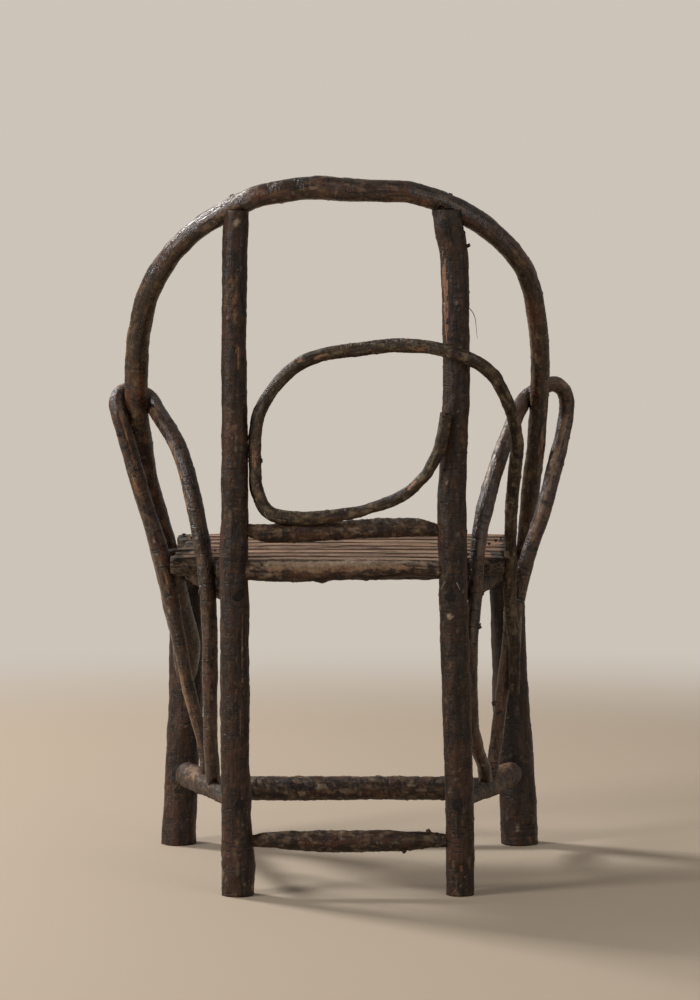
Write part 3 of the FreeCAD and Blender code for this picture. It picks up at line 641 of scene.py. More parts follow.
def hexColour(code):
    # sRGB hex to linear
    channels = [int(code[k:k + 2], 16) / 255 for k in (1, 3, 5)]
    return tuple(c / 12.92 if c < 0.04045 else ((c + 0.055) / 1.055) ** 2.4 for c in channels) + (1,)


def addNode(material, kind, inputs=None, out=0, **settings):
    # inputs: a socket's name or number, with a number, a hex colour or another node's socket
    node = material.node_tree.nodes.new("ShaderNode" + kind)
    for key, value in settings.items():
        setattr(node, key, value)
    for key, value in (inputs or {}).items():
        if isinstance(value, bpy.types.NodeSocket):
            material.node_tree.links.new(value, node.inputs[key])
        else:
            node.inputs[key].default_value = hexColour(value) if isinstance(value, str) else value
    return node.outputs[out] if node.outputs else node


def newMaterial(name):
    material = bpy.data.materials.new(name)
    material.use_nodes = True
    material.node_tree.nodes.clear()
    return material


barkPatterns = {   # mm along the limb, mm across it, detail
    "streaks": (38, 3.2, 4), "clouds": (55, 24, 3), "film": (16, 8, 5), "cracks": (60, 2.4, 2),
    "bands": (4.2, 22, 3), "specks": (2.6, 4.0, 2), "crust": (3.2, 2.4, 4), "mottles": (8, 5, 4),
    "woodLines": (60, 1.8, 3), "woodTint": (26, 8, 3),
}
barkLayers = [     # pattern, its range, the colour's largest share, the colour
    ("streaks", 0.38, 0.58, 1.0, "brown"), ("clouds", 0.45, 0.7, 0.9, "warm"),
    ("film", 0.47, 0.68, 0.75, "grey"), ("mottles", 0.54, 0.64, 0.6, "deep"),
    ("bands", 0.53, 0.66, 0.7, "crack"), ("specks", 0.66, 0.73, 0.6, "speck"),
    ("cracks", 0.6, 0.68, 0.7, "crack"),
]


def grainPatterns(finish, patterns, shift):
    # the masks that the mesh carries, and noise stretched along the grain for each pattern
    grain = addNode(finish, "Attribute", out="Vector", attribute_name="grain")
    mask = {key: addNode(finish, "Attribute", out="Fac", attribute_name=key) for key in maskNames}
    noise = {}
    for key, (lengthMm, widthMm, detail) in patterns.items():
        stretched = addNode(finish, "Mapping", {
            0: grain, "Location": (shift[0] * len(noise), shift[1] * len(noise), 0),
            "Scale": (1 / (lengthMm * mm), 1 / (widthMm * mm), 1 / (widthMm * mm))})
        noise[key] = addNode(finish, "TexNoise", {
            0: stretched, "Scale": 1.0, "Detail": detail, "Roughness": 0.58})
    return mask, noise


def layColours(finish, colour, layers):
    # each layer: what drives it, where it starts and is full, its largest share, its colour
    shares = []
    for source, low, high, most, tint in layers:
        share = addNode(finish, "MapRange", {0: source, 1: low, 2: high, 4: most},
                        interpolation_type="SMOOTHSTEP")
        colour = addNode(finish, "Mix", {0: share, 6: colour, 7: tint}, 2, data_type="RGBA")
        shares.append(share)
    return colour, shares


def saplingBark(name, look):
    # Bark left on the stem and rubbed by years of use: dark brown with a thin grey film,
    # short cross marks where the stem breathes, long cracks, and pinkish wood where it has
    # peeled. The gloss comes from hands, so it is uneven.
    finish = newMaterial(name)
    mask, noise = grainPatterns(finish, barkPatterns, (3.7, 1.9))
    colour, laid = layColours(finish, look["deep"], [
        (noise[key], low, high, most * look["amounts"].get(key, 1.0), look[tint])
        for key, low, high, most, tint in barkLayers])
    shares = dict(zip([layer[0] for layer in barkLayers], laid))
    # the painted shade, broken up by finer noise
    shade = mask["light"]
    for key in ("film", "mottles"):
        shade = addNode(finish, "Math", {0: noise[key], 1: 0.9, 2: shade}, operation="MULTIPLY_ADD")
    colour, _ = layColours(finish, colour, [
        (shade, 1.5, 1.95, 0.8, look["lit"]), (shade, 1.35, 0.9, 0.85, look["deep"])])
    colour = addNode(finish, "Mix", {0: mask["pale"], 6: colour, 7: look["flake"]}, 2, data_type="RGBA")
    # bare wood with a crusty edge
    wood, _ = layColours(finish, look["bareDeep"], [
        (noise["woodLines"], 0.35, 0.65, 1.0, look["bareLight"]),
        (noise["woodTint"], 0.48, 0.66, 1.0, look["bareWarm"])])
    edge = addNode(finish, "Math", {0: noise["crust"], 1: 0.5, 2: mask["bare"]},
                   operation="MULTIPLY_ADD")
    colour, (bare,) = layColours(finish, colour, [(edge, 0.6, 1.1, 0.85, wood)])
    darkShare = addNode(finish, "Math", {0: mask["dark"], 1: 0.9}, operation="MINIMUM")
    colour = addNode(finish, "Mix", {0: darkShare, 6: colour, 7: look["crack"]}, 2, data_type="RGBA")

    height = 0.0
    for source, amount in ((noise["streaks"], 0.35), (noise["crust"], look["crust"]),
                           (noise["mottles"], 0.5), (shares["bands"], -0.3 * look["wrinkles"]),
                           (shares["cracks"], -0.4), (shares["specks"], 0.3)):
        height = addNode(finish, "Math", {0: source, 1: amount, 2: height}, operation="MULTIPLY_ADD")
    bump = addNode(finish, "Bump", {"Height": height, "Strength": look["bump"], "Distance": 1.1 * mm})
    gloss = look["rough"]
    for source, amount in ((noise["film"], 0.24), (bare, 0.08), (mask["dark"], 0.25)):
        gloss = addNode(finish, "Math", {0: source, 1: amount, 2: gloss}, operation="MULTIPLY_ADD")
    shader = addNode(finish, "BsdfPrincipled", {
        "Base Color": colour, "Roughness": gloss, "Normal": bump, "Specular IOR Level": look["shine"]})
    addNode(finish, "OutputMaterial", {0: shader})
    return finish


barkColours = {
    "deep": "#140b05", "brown": "#352213", "warm": "#472917", "grey": "#5c4731",
    "lit": "#7f6247", "speck": "#84694e", "crack": "#0b0603", "flake": "#8d7a64",
    "bareDeep": "#573522", "bareLight": "#9a7150", "bareWarm": "#754a30",
    "amounts": {}, "crust": 0.8, "wrinkles": 1.0, "bump": 1.0, "rough": 0.34, "shine": 0.3,
}

kinds = {
    "post": {"slot": "bark_posts", "sides": 44, "rings": 0.03, "swell": 1.0, "lumps": 0.7,
             "furrows": 0.5, "fine": 0.3, "scales": 0.15,
             "material": saplingBark("rubbedSaplingBarkPosts", {
                 **barkColours, "brown": "#301d0f", "warm": "#402414", "grey": "#432f1c",
                 "lit": "#6e5239", "amounts": {"film": 0.8, "mottles": 0.8}}),
             "scattered": {"knots": 210, "flakes": 45, "cracks": 60, "rings": 150, "swellings": 130,
                           "peels": 260, "spots": 40}},
    "rung": {"slot": "bark_rungs", "sides": 32, "rings": 0.03, "swell": 0.9, "lumps": 0.8,
             "furrows": 0.5, "fine": 0.6, "scales": 0.5,
             "material": saplingBark("roughSaplingBarkRungs", {
                 **barkColours, "rough": 0.42, "crust": 1.4, "amounts": {"film": 1.2, "mottles": 1.4}}),
             "scattered": {"knots": 100, "flakes": 24, "cracks": 60, "rings": 120, "swellings": 70,
                           "peels": 190, "spots": 30}},
    "hoop": {"slot": "bark_hoop", "sides": 44, "rings": 0.07, "swell": 1.0, "lumps": 0.6,
             "furrows": 0.35, "fine": 0.25, "scales": 0.12,
             "material": saplingBark("polishedSaplingBarkHoop", {
                 **barkColours, "warm": "#532f1a", "rough": 0.15, "shine": 0.5,
                 "amounts": {"bands": 1.1, "cracks": 1.35}}),
             "scattered": {"knots": 260, "flakes": 60, "cracks": 90, "rings": 60, "swellings": 140,
                           "peels": 240, "spots": 45}},
    "loop": {"slot": "bark_bent", "sides": 32, "rings": 0.07, "swell": 0.7, "lumps": 0.5,
             "furrows": 0.25, "fine": 0.28, "scales": 0.2,
             "material": saplingBark("bentSaplingBarkBackLoop", {
                 **barkColours, "brown": "#3a2b1b", "warm": "#4c3721", "grey": "#655740",
                 "rough": 0.36, "crust": 1.3, "amounts": {"film": 1.2, "mottles": 1.4}}),
             "scattered": {"knots": 150, "flakes": 40, "cracks": 110, "rings": 50, "swellings": 100,
                           "peels": 120, "spots": 35}},
    "arm": {"slot": "bark_bent", "sides": 36, "rings": 0.12, "swell": 0.7, "lumps": 0.45,
            "furrows": 0.2, "fine": 0.2, "scales": 0.1,
            "material": saplingBark("wrinkledSaplingBarkArms", {
                **barkColours, "brown": "#432d20", "warm": "#553526", "rough": 0.24, "shine": 0.5,
                "wrinkles": 1.8, "amounts": {"bands": 1.4, "specks": 1.5}}),
            "scattered": {"knots": 170, "flakes": 60, "cracks": 150, "rings": 34, "swellings": 120,
                          "peels": 230, "spots": 40}},
}
print("bark materials made")


# Limbs

plainLimb = {"trim": (0, 0), "fullEnds": False, "whittled": False, "marks": {}}   # trim in mm
tenonLook = {"girth": 7.9, "taper": 26.0, "sunk": 7.0}   # mm


def fillTapers(girth, ring):
    # a rung that keeps its thickness up to the post: its shoulders are brought out again
    body = np.flatnonzero(girth > tenonLook["girth"] * mm)
    reach, sunk = int(tenonLook["taper"] * mm / ring), int(tenonLook["sunk"] * mm / ring)
    first, last = body[0], body[-1]
    girth[max(first - sunk, 0):first + reach] = 0.98 * girth[first + reach]
    girth[last - reach:last + sunk + 1] = 0.98 * girth[last - reach]


def mark(make, *pixels, **sizes):
    # what makes the mark, its pixels in the 700 x 1000 image, and its sizes in mm and shares
    return make, pixels, sizes


def makeLimb(node, kind, seed, **settings):
    plan = {**plainLimb, **settings}
    look = kinds[kind]
    limb = traceLimb(node, kind == "post", plan["trim"])
    if plan["fullEnds"]:
        fillTapers(limb["girth"], limb["along"][1])
    bark = Bark(limb, look["sides"], seed)
    growBark(bark, look)
    scatterMarks(bark, np.random.default_rng(seed), look["scattered"])
    for atStart in (True, False) if plan["whittled"] else ():
        addWhittled(bark, atStart)
    for make, pixels, sizes in plan["marks"].values():
        for pixel in pixels:
            make(bark, bark.place(pixel), **sizes)
    seatNails(bark)
    writeLimb(node + "_wood", bark, look, [node])
    print(f"{node}: {limb['along'][-1] / mm:.0f} mm long, "
          f"radius {limb['girth'].min() / mm:.1f} to {limb['girth'].max() / mm:.1f} mm")


makeLimb("rear_post_left", "post", seed=11, trim=(0, 5), marks=dict(
    splinter=mark(addStub, (250, 215), length=3, width=2.5, lean=1.5),
    topFlakes=mark(addFlake, (237, 222), length=6, width=4, height=1.2),
    middleLine=mark(addCrack, (243, 300), length=90, width=0.9, wander=3),
    # painted shade down the post's right side and painted light down its left side
    middleDark=mark(addShadeAndTone, (246, 290), length=60, width=6, tone=-0.45),
    leftLit=mark(addShadeAndTone, (236, 300), length=90, width=5, tone=0.2),
    lowerShade=mark(addShadeAndTone, (245, 430), length=55, width=7, tone=-0.45),
    leftLitLow=mark(addShadeAndTone, (235, 450), length=70, width=5, tone=0.25),
    neckPeel=mark(addPeel, (238, 356), length=16, width=3, tone=0.6),
    bulge=mark(addSwelling, (240, 545), length=16, height=1.6),
    bulgeKnot=mark(addKnot, (243, 548), size=12, height=1.6, eyeShare=0.22),
    bulgeCrack=mark(addCrack, (236, 528), length=16, width=1.1, slant=0.4),
    bulgeCrackRight=mark(addCrack, (249, 526), length=16, width=1.1, slant=-0.4),
    tenonHole=mark(addSpot, (242, 592), length=7, width=6.5, depth=1.5, tone=1),
    tenonRim=mark(addRing, (240, 582), half=40, wander=2),
    orangeCrack=mark(addPeel, (242, 652), length=45, width=1.2, tone=0.75),
    orangeCrackLow=mark(addPeel, (240, 720), length=22, width=1.0, tone=0.6),
    # painted shade on the shin's right side, painted light on its left side
    shinShade=mark(addShadeAndTone, (247, 700), length=80, width=6, tone=-0.4),
    shinLit=mark(addShadeAndTone, (235, 690), length=90, width=4, tone=0.25),
    lowHole=mark(addSpot, (242, 805), length=4.5, width=4.5, depth=0.6, tone=0.7),
    footKnot=mark(addKnot, (245, 845), size=8, height=1.6),
    footRing=mark(addRing, (238, 848), half=80, wander=2.5),
    footFlakeLeft=mark(addFlake, (223, 873), length=7, width=4, height=1.8),
    footFlakeRight=mark(addFlake, (253, 885), length=5, width=4, height=1.8),
    footFlakeMiddle=mark(addFlake, (238, 868), length=9, width=3, height=1.2, tone=0.2),
    footCrack=mark(addCrack, (233, 862), length=22, width=1.2, wander=3),
    footCrackRight=mark(addCrack, (247, 870), length=20, width=1.2, wander=3),
    footPits=mark(addSpot, (241, 858), length=6, width=3, depth=1.2),
))
makeLimb("rear_post_right", "post", seed=12, trim=(0, 4), marks=dict(
    # painted shadow of the hoop on the post's head
    headShadow=mark(addShadeAndTone, (446, 226), length=16, width=10, tone=-0.6),
    headKnot=mark(addKnot, (443, 228), size=8, height=2.0),
    headShoulder=mark(addPeel, (466, 214), length=16, width=12, depth=4, tone=0.2),
    headCrack=mark(addCrack, (452, 236), length=22, width=1.2, wander=4),
    headFibres=mark(addFibre, (443, 250), length=12, lean=-2, tone=0.9),
    headFibresLow=mark(addFibre, (446, 257), length=9, lean=-2, tone=0.9),
    twigNub=mark(addStub, (469, 244), length=3.5, width=5, lean=0.4),
    bareFacet=mark(addPeel, (445.5, 299), length=50, width=4.5, tone=1.0),
    facetEdge=mark(addCrack, (450, 300), length=50, width=1.4, wander=1),
    facetDark=mark(addShadeAndTone, (455, 310), length=60, width=7, tone=-0.35),
    whiteFibre=mark(addFibre, (448, 342), length=8, lean=-1, tone=1),
    hangingFibre=mark(addFibre, (471, 308), length=42, width=1.2, lean=-0.6, droop=1.4, curl=0.5),
    # painted shade on the trunk's right side, painted light on its left side
    trunkShade=mark(addShadeAndTone, (456, 430), length=70, width=8, tone=-0.4),
    trunkLit=mark(addShadeAndTone, (443, 430), length=80, width=4, tone=0.28),
    trunkCrack=mark(addCrack, (452, 470), length=60, width=0.9, wander=3),
    wound=mark(addPeel, (451, 587), length=12, width=7, depth=1.4, tone=0.35),
    woundDark=mark(addSpot, (452, 590), length=7, width=5, depth=0.8),
    woundFibres=mark(addFibre, (445, 577), length=16, lean=-2, curl=0.8, tone=1),
    woundFibresRight=mark(addFibre, (457, 580), length=13, lean=-2, curl=-0.8, tone=1),
    flakeRing=mark(addFlake, (450, 616), length=3.5, width=3.5, tone=1),
    # painted shade on the shin's right side, painted light on its left side
    shinShade=mark(addShadeAndTone, (458, 690), length=80, width=7, tone=-0.4),
    shinLit=mark(addShadeAndTone, (446, 690), length=70, width=4, tone=0.25),
    ringCrack=mark(addRing, (452, 742), half=80, wander=2),
    lowHole=mark(addSpot, (455, 803), length=6, width=5, depth=1.2, tone=1),
    footFlake=mark(addFlake, (469, 862), length=8, width=3, height=1.5, tone=0.2),
    footPeel=mark(addPeel, (461, 866), length=6, width=3, tone=0.6),
    footRing=mark(addRing, (458, 880), half=80, wander=2.5),
))
makeLimb("front_leg_left", "post", seed=13, marks=dict(
    # painted light on the leg's left side, painted shade on its right side
    innerLit=mark(addShadeAndTone, (184, 690), length=70, width=4, tone=0.25),
    innerShade=mark(addShadeAndTone, (192, 650), length=60, width=5, tone=-0.35),
    footDark=mark(addShadeAndTone, (187, 815), length=20, width=20, tone=-0.3),
))
makeLimb("front_leg_right", "post", seed=14, marks=dict(
    shade=mark(addShadeAndTone, (508, 720), length=170, width=30, tone=-0.5),
    nearFloorRings=mark(addRing, (510, 822), (510, 827), (510, 833), half=120, wander=2),
    footFlake=mark(addFlake, (518, 826), length=6, width=4, height=1.6),
))

makeLimb("seat_rail_front", "rung", seed=31)
makeLimb("seat_rail_rear", "rung", seed=32, fullEnds=True, marks=dict(
    lump=mark(addSwelling, (324, 585), length=8, height=1.6),
    lumpRight=mark(addKnot, (370, 582), size=7, height=1.8),
    # painted light along the top; the long pale strip there is grey crust and painted light both;
    # painted shade underneath
    topLit=mark(addShadeAndTone, (345, 568), length=130, width=6, tone=0.9),
    topPaleAndLit=mark(addFlake, (345, 563), length=130, width=5, height=0.4, tone=0.7),
    underShade=mark(addShadeAndTone, (350, 597), length=120, width=7, tone=-0.4),
))
makeLimb("seat_rail_left", "rung", seed=33, whittled=True)
makeLimb("seat_rail_right", "rung", seed=34, whittled=True)
makeLimb("back_rail_lower", "rung", seed=35, marks=dict(
    leftCurl=mark(addFibre, (256, 521), length=8, lean=-2, curl=1, tone=0.7),
    leftCurlLow=mark(addFibre, (258, 525), length=7, lean=2, curl=-1, tone=0.7),
    hangingStrip=mark(addFibre, (434, 503), length=13, droop=2, tone=0.4),
    middleDark=mark(addShadeAndTone, (350, 515), length=80, width=5, tone=-0.4),
))
makeLimb("stretcher_front", "rung", seed=36, marks=dict(
    # painted light along the top, painted shade underneath
    topLit=mark(addShadeAndTone, (340, 768), length=150, width=3.5, tone=0.5),
    underShade=mark(addShadeAndTone, (345, 785), length=150, width=5, tone=-0.4),
    orangeSpot=mark(addPeel, (300, 777), length=4, width=2, tone=0.9),
    orangeSpotRight=mark(addPeel, (398, 776), length=5, width=2, tone=0.9),
    underFlake=mark(addFlake, (322, 787), length=9, width=3, height=1.8),
    underFlakeRight=mark(addFlake, (412, 785), length=7, width=3, height=1.8),
))
makeLimb("stretcher_rear", "rung", seed=37, marks=dict(
    stub=mark(addStub, (430, 830), length=4, width=6),
    stubLow=mark(addStub, (402, 850), length=4, width=6, lean=-0.5),
    # painted light along the top, painted shade underneath
    topLit=mark(addShadeAndTone, (345, 830), length=110, width=3.5, tone=0.35),
    underShade=mark(addShadeAndTone, (350, 848), length=120, width=7, tone=-0.4),
))
makeLimb("stretcher_left", "rung", seed=38, whittled=True, marks=dict(
    greyEnd=mark(addFlake, (188, 768), length=24, width=16, height=0.4, tone=0.75),
    greyLight=mark(addShadeAndTone, (200, 780), length=60, width=12, tone=0.9),
    endKnot=mark(addKnot, (187, 780), size=5, height=1.2),
))
makeLimb("stretcher_right", "rung", seed=39, whittled=True, marks=dict(
    endRing=mark(addRing, (514, 768), half=120),
    endLit=mark(addShadeAndTone, (500, 775), length=70, width=14, tone=0.7),
))

makeLimb("back_hoop", "hoop", seed=51, marks=dict(
    crownKnuckle=mark(addKnot, (327, 181), size=9, height=1.8, eyeShare=0.3),
    crownFlakes=mark(addFlake, (326, 177), length=7, width=3, tone=0.8),
    crownWarm=mark(addPeel, (390, 194), length=26, width=2, tone=0.5),
    leftFlakes=mark(addFlake, (235, 191), length=6, width=3, tone=0.8),
    shoulderDark=mark(addShadeAndTone, (166, 235), length=40, width=6, tone=-0.3),
    leftStrip=mark(addPeel, (113, 335), length=52, width=2.6, depth=0.4, tone=0.6),
    leftStripLow=mark(addPeel, (110, 378), length=24, width=2.4, depth=0.4, tone=0.7),
    # painted light on the left upright's left side and painted shade on its right side
    leftUprightLit=mark(addShadeAndTone, (124, 345), length=80, width=9, tone=0.45),
    leftUprightShade=mark(addShadeAndTone, (138, 330), length=70, width=4, tone=-0.4),
    leftSeam=mark(addCrack, (119, 300), length=60, width=0.9, wander=3),
    leftRings=mark(addRing, (129, 322), (129, 344), half=50, width=1.1, tone=0.6),
    leftRingsLow=mark(addRing, (130, 363), (131, 381), half=60, width=1.2, tone=0.7),
    rightShoulder=mark(addCrack, (521, 244), length=26, width=0.9, wander=1),
    rightSeams=mark(addCrack, (537, 330), (540, 430), length=60, width=1.0, wander=3),
    rightCrack=mark(addCrack, (543, 382), length=18, width=1.1, wander=1),
    rightFlakes=mark(addFlake, (532, 397), length=12, width=2.4, tone=0.7),
    # painted light on the right upright's left side, painted shade on its right side
    rightLit=mark(addShadeAndTone, (531, 340), length=90, width=4, tone=0.3),
    rightSideShade=mark(addShadeAndTone, (546, 300), length=60, width=6, tone=-0.4),
    rightSeamDark=mark(addShadeAndTone, (531, 450), length=50, width=4, tone=-0.6),
    rightLitLow=mark(addShadeAndTone, (541, 440), length=70, width=5, tone=0.7),
    footShade=mark(addShadeAndTone, (541, 520), length=60, width=8, tone=-0.25),
))
makeLimb("back_loop", "loop", seed=61, marks=dict(
    frayedStart=mark(addFibre, (443, 412), length=9, lean=-1, tone=0.8),
    frayedStartLow=mark(addFibre, (443, 417), length=8, lean=-2, curl=1, tone=0.8),
    kinkPeel=mark(addPeel, (300, 360), length=6, width=3, tone=0.9),
    kinkPeelRight=mark(addPeel, (322, 356), length=14, width=2.5, tone=0.8),
    rightPeel=mark(addPeel, (421, 350), length=6, width=2.6, tone=0.95),
    leftPeel=mark(addPeel, (278, 395), length=8, width=3, tone=0.9),
    lowPeel=mark(addPeel, (412, 485), length=8, width=3, tone=0.9),
    cornerSliver=mark(addFibre, (264, 511), length=14, lean=2, tone=0.6),
))
makeLimb("arm_loop_left", "arm", seed=62, marks=dict(
    hookPeel=mark(addPeel, (117, 387), length=10, width=6, tone=0.8),
    hookRing=mark(addRing, (117, 397), half=80),
    hookShade=mark(addShadeAndTone, (117, 425), length=30, width=4, tone=-0.3),
    peelStrip=mark(addPeel, (127, 438), length=44, width=2.0, tone=0.75),
    peelStripLow=mark(addPeel, (134, 484), length=18, width=3.6, tone=0.8),
    flaps=mark(addFlake, (134, 438), (139, 456), (144, 476), length=12, width=1.2, height=1.4),
    holes=mark(addSpot, (134, 419), (142, 429), length=3.5, width=2.5, depth=1),
    holeLow=mark(addSpot, (142, 445), length=3, width=2.2, depth=1),
    yellowFibre=mark(addFibre, (139, 424), length=5, lean=-1, tone=0.9),
    twigStub=mark(addStub, (153, 454), length=7, width=5, lean=0.2),
    legKnot=mark(addKnot, (145, 478), size=5, height=1.4),
    pits=mark(addSpot, (160, 487), length=3, width=2.4, depth=0.8),
    orangeSpot=mark(addPeel, (153, 539), length=3, width=2.5, tone=1),
    darkZone=mark(addShadeAndTone, (169, 557), length=22, width=12, tone=-0.4),
    flecks=mark(addFlake, (169, 608), length=8, width=2, tone=0.8),
    litBranch=mark(addShadeAndTone, (183, 690), length=60, width=7, tone=1.0),
    litFlakes=mark(addFlake, (190, 716), length=22, width=2.2, height=0.5, tone=0.8),
    collar=mark(addKnot, (198, 544), size=8, height=2, eyeShare=0.2),
    collarRing=mark(addRing, (199, 536), half=90),
    rearLegDark=mark(addShadeAndTone, (154, 405), length=16, width=7, tone=-0.35),
    rearLegLit=mark(addShadeAndTone, (178, 470), length=62, width=7, tone=0.85),
    rearLegRings=mark(addRing, (168, 436), (183, 486), half=90, width=1.1),
))
makeLimb("arm_loop_right", "arm", seed=63, marks=dict(
    ringCrack=mark(addRing, (487, 480), half=100),
    # painted highlight on the rear leg: a lighter stretch, and a pinkish strip drawn as bare wood
    rearLegLit=mark(addShadeAndTone, (489, 466), length=60, width=8, tone=0.8),
    rearLegPinkHighlight=mark(addPeel, (492, 452), length=16, width=2.5, tone=0.55),
    outerLit=mark(addShadeAndTone, (560, 440), length=70, width=6, tone=0.8),
    outerLitLow=mark(addShadeAndTone, (538, 520), length=60, width=5, tone=0.6),
    hookLit=mark(addShadeAndTone, (558, 382), length=20, width=6, tone=0.5),
    lichens=mark(addFlake, (518, 520), (508, 560), length=4, width=1.5, tone=0.8),
    barkFlap=mark(addStub, (487, 626), length=2, width=10, lean=-1.4),
    lowStub=mark(addStub, (494, 702), length=3, width=6),
))
print("limbs made")


# Seat slats: split saplings with the flat side up

slatLook = {
    "ring": 2.5, "edge": 2.5, "sides": 36, "barkEnd": 16.0,   # mm
    "ripple": 0.5, "lumps": 1.0, "sunk": 0.55, "rough": 1.2,  # mm
    "rippleGrain": (60, 9), "lumpGrain": (18, 9),             # mm along, mm across
    "nailClear": 4.5, "nailFade": 4.0,                        # mm round a nail head left plain
    # edgeShade: how dark the painted shade along the long edges gets
    "cornerLength": 9.0, "cornerShare": 0.12,
    "edgeShade": 0.95, "edgeFrom": 0.66, "paleShare": 0.45,     # shares of the half width and of colour
}


def slatProfile(width, thickness, top, look):
    # flat top, rounded edges and a round belly, from the rear edge over the top
    edge = look["edge"] * mm
    spots = []
    for j in range(look["sides"]):
        turn = 2 * math.pi * j / look["sides"]
        across, rise = math.cos(turn) * width / 2, math.sin(turn)
        fall = edge * (1 - rise ** 0.25) if rise > 0 else edge + (thickness - edge) * (-rise) ** 0.8
        spots.append((across, top - fall))
    return spots


def splitWood(name, look):
    # A sapling split down the middle, its flat side planed and worn by sitting: brown
    # heartwood with long dark and tan grain lines, bark left on the round belly.
    finish = newMaterial(name)
    mask, noise = grainPatterns(finish, look["patterns"], (2.9, 1.3))
    layers = [(noise[key], *rest) for key, *rest in look["layers"]]
    wood, _ = layColours(finish, look["brown"], layers)
    wood = addNode(finish, "Mix", {0: mask["light"], 6: wood, 7: look["palest"]}, 2, data_type="RGBA")
    crust = addNode(finish, "MapRange", {0: noise["crust"], 1: 0.4, 2: 0.7})
    bark = addNode(finish, "Mix", {0: crust, 6: look["barkDeep"], 7: look["barkLight"]}, 2,
                   data_type="RGBA")
    edge = addNode(finish, "Math", {0: noise["crust"], 1: 0.6, 2: mask["bare"]},
                   operation="MULTIPLY_ADD")
    bare = addNode(finish, "MapRange", {0: edge, 1: 0.7, 2: 0.9}, interpolation_type="SMOOTHSTEP")
    colour = addNode(finish, "Mix", {0: bare, 6: bark, 7: wood}, 2, data_type="RGBA")
    # the dark mask: painted shade along the slats' long edges, and dirt in the grain's hollows
    colour = addNode(finish, "Mix", {0: mask["dark"], 6: colour, 7: look["gapShadeAndDirt"]}, 2, data_type="RGBA")
    height = addNode(finish, "Math", {0: noise["crust"], 1: 0.5, 2: noise["lines"]},
                     operation="MULTIPLY_ADD")
    bump = addNode(finish, "Bump", {"Height": height, "Strength": 0.8, "Distance": 0.7 * mm})
    gloss = addNode(finish, "Math", {0: noise["stains"], 1: 0.3, 2: 0.45}, operation="MULTIPLY_ADD")
    shader = addNode(finish, "BsdfPrincipled", {
        "Base Color": colour, "Roughness": gloss, "Normal": bump, "Specular IOR Level": 0.15})
    addNode(finish, "OutputMaterial", {0: shader})
    return finish


splitWoodColours = {
    "patterns": {"lines": (130, 1.6, 3), "bands": (180, 6, 3), "streaks": (90, 2.6, 4),
                 "stains": (50, 16, 4), "crust": (6, 3, 4)},     # mm along, mm across, detail
    "brown": "#3f281b",
    "layers": [("bands", 0.45, 0.58, 0.8, "#6c4630"), ("lines", 0.45, 0.58, 0.9, "#8f6c50"),
               ("streaks", 0.52, 0.6, 0.9, "#b8977a"), ("stains", 0.5, 0.62, 0.9, "#22150e")],
    "palest": "#a3856a",
    "barkDeep": "#1a120c", "barkLight": "#6a5a4c", "gapShadeAndDirt": "#0b0604",
}
slatPiece = {"slot": "split_wood", "material": splitWood("splitSaplingHeartwood", splitWoodColours)}


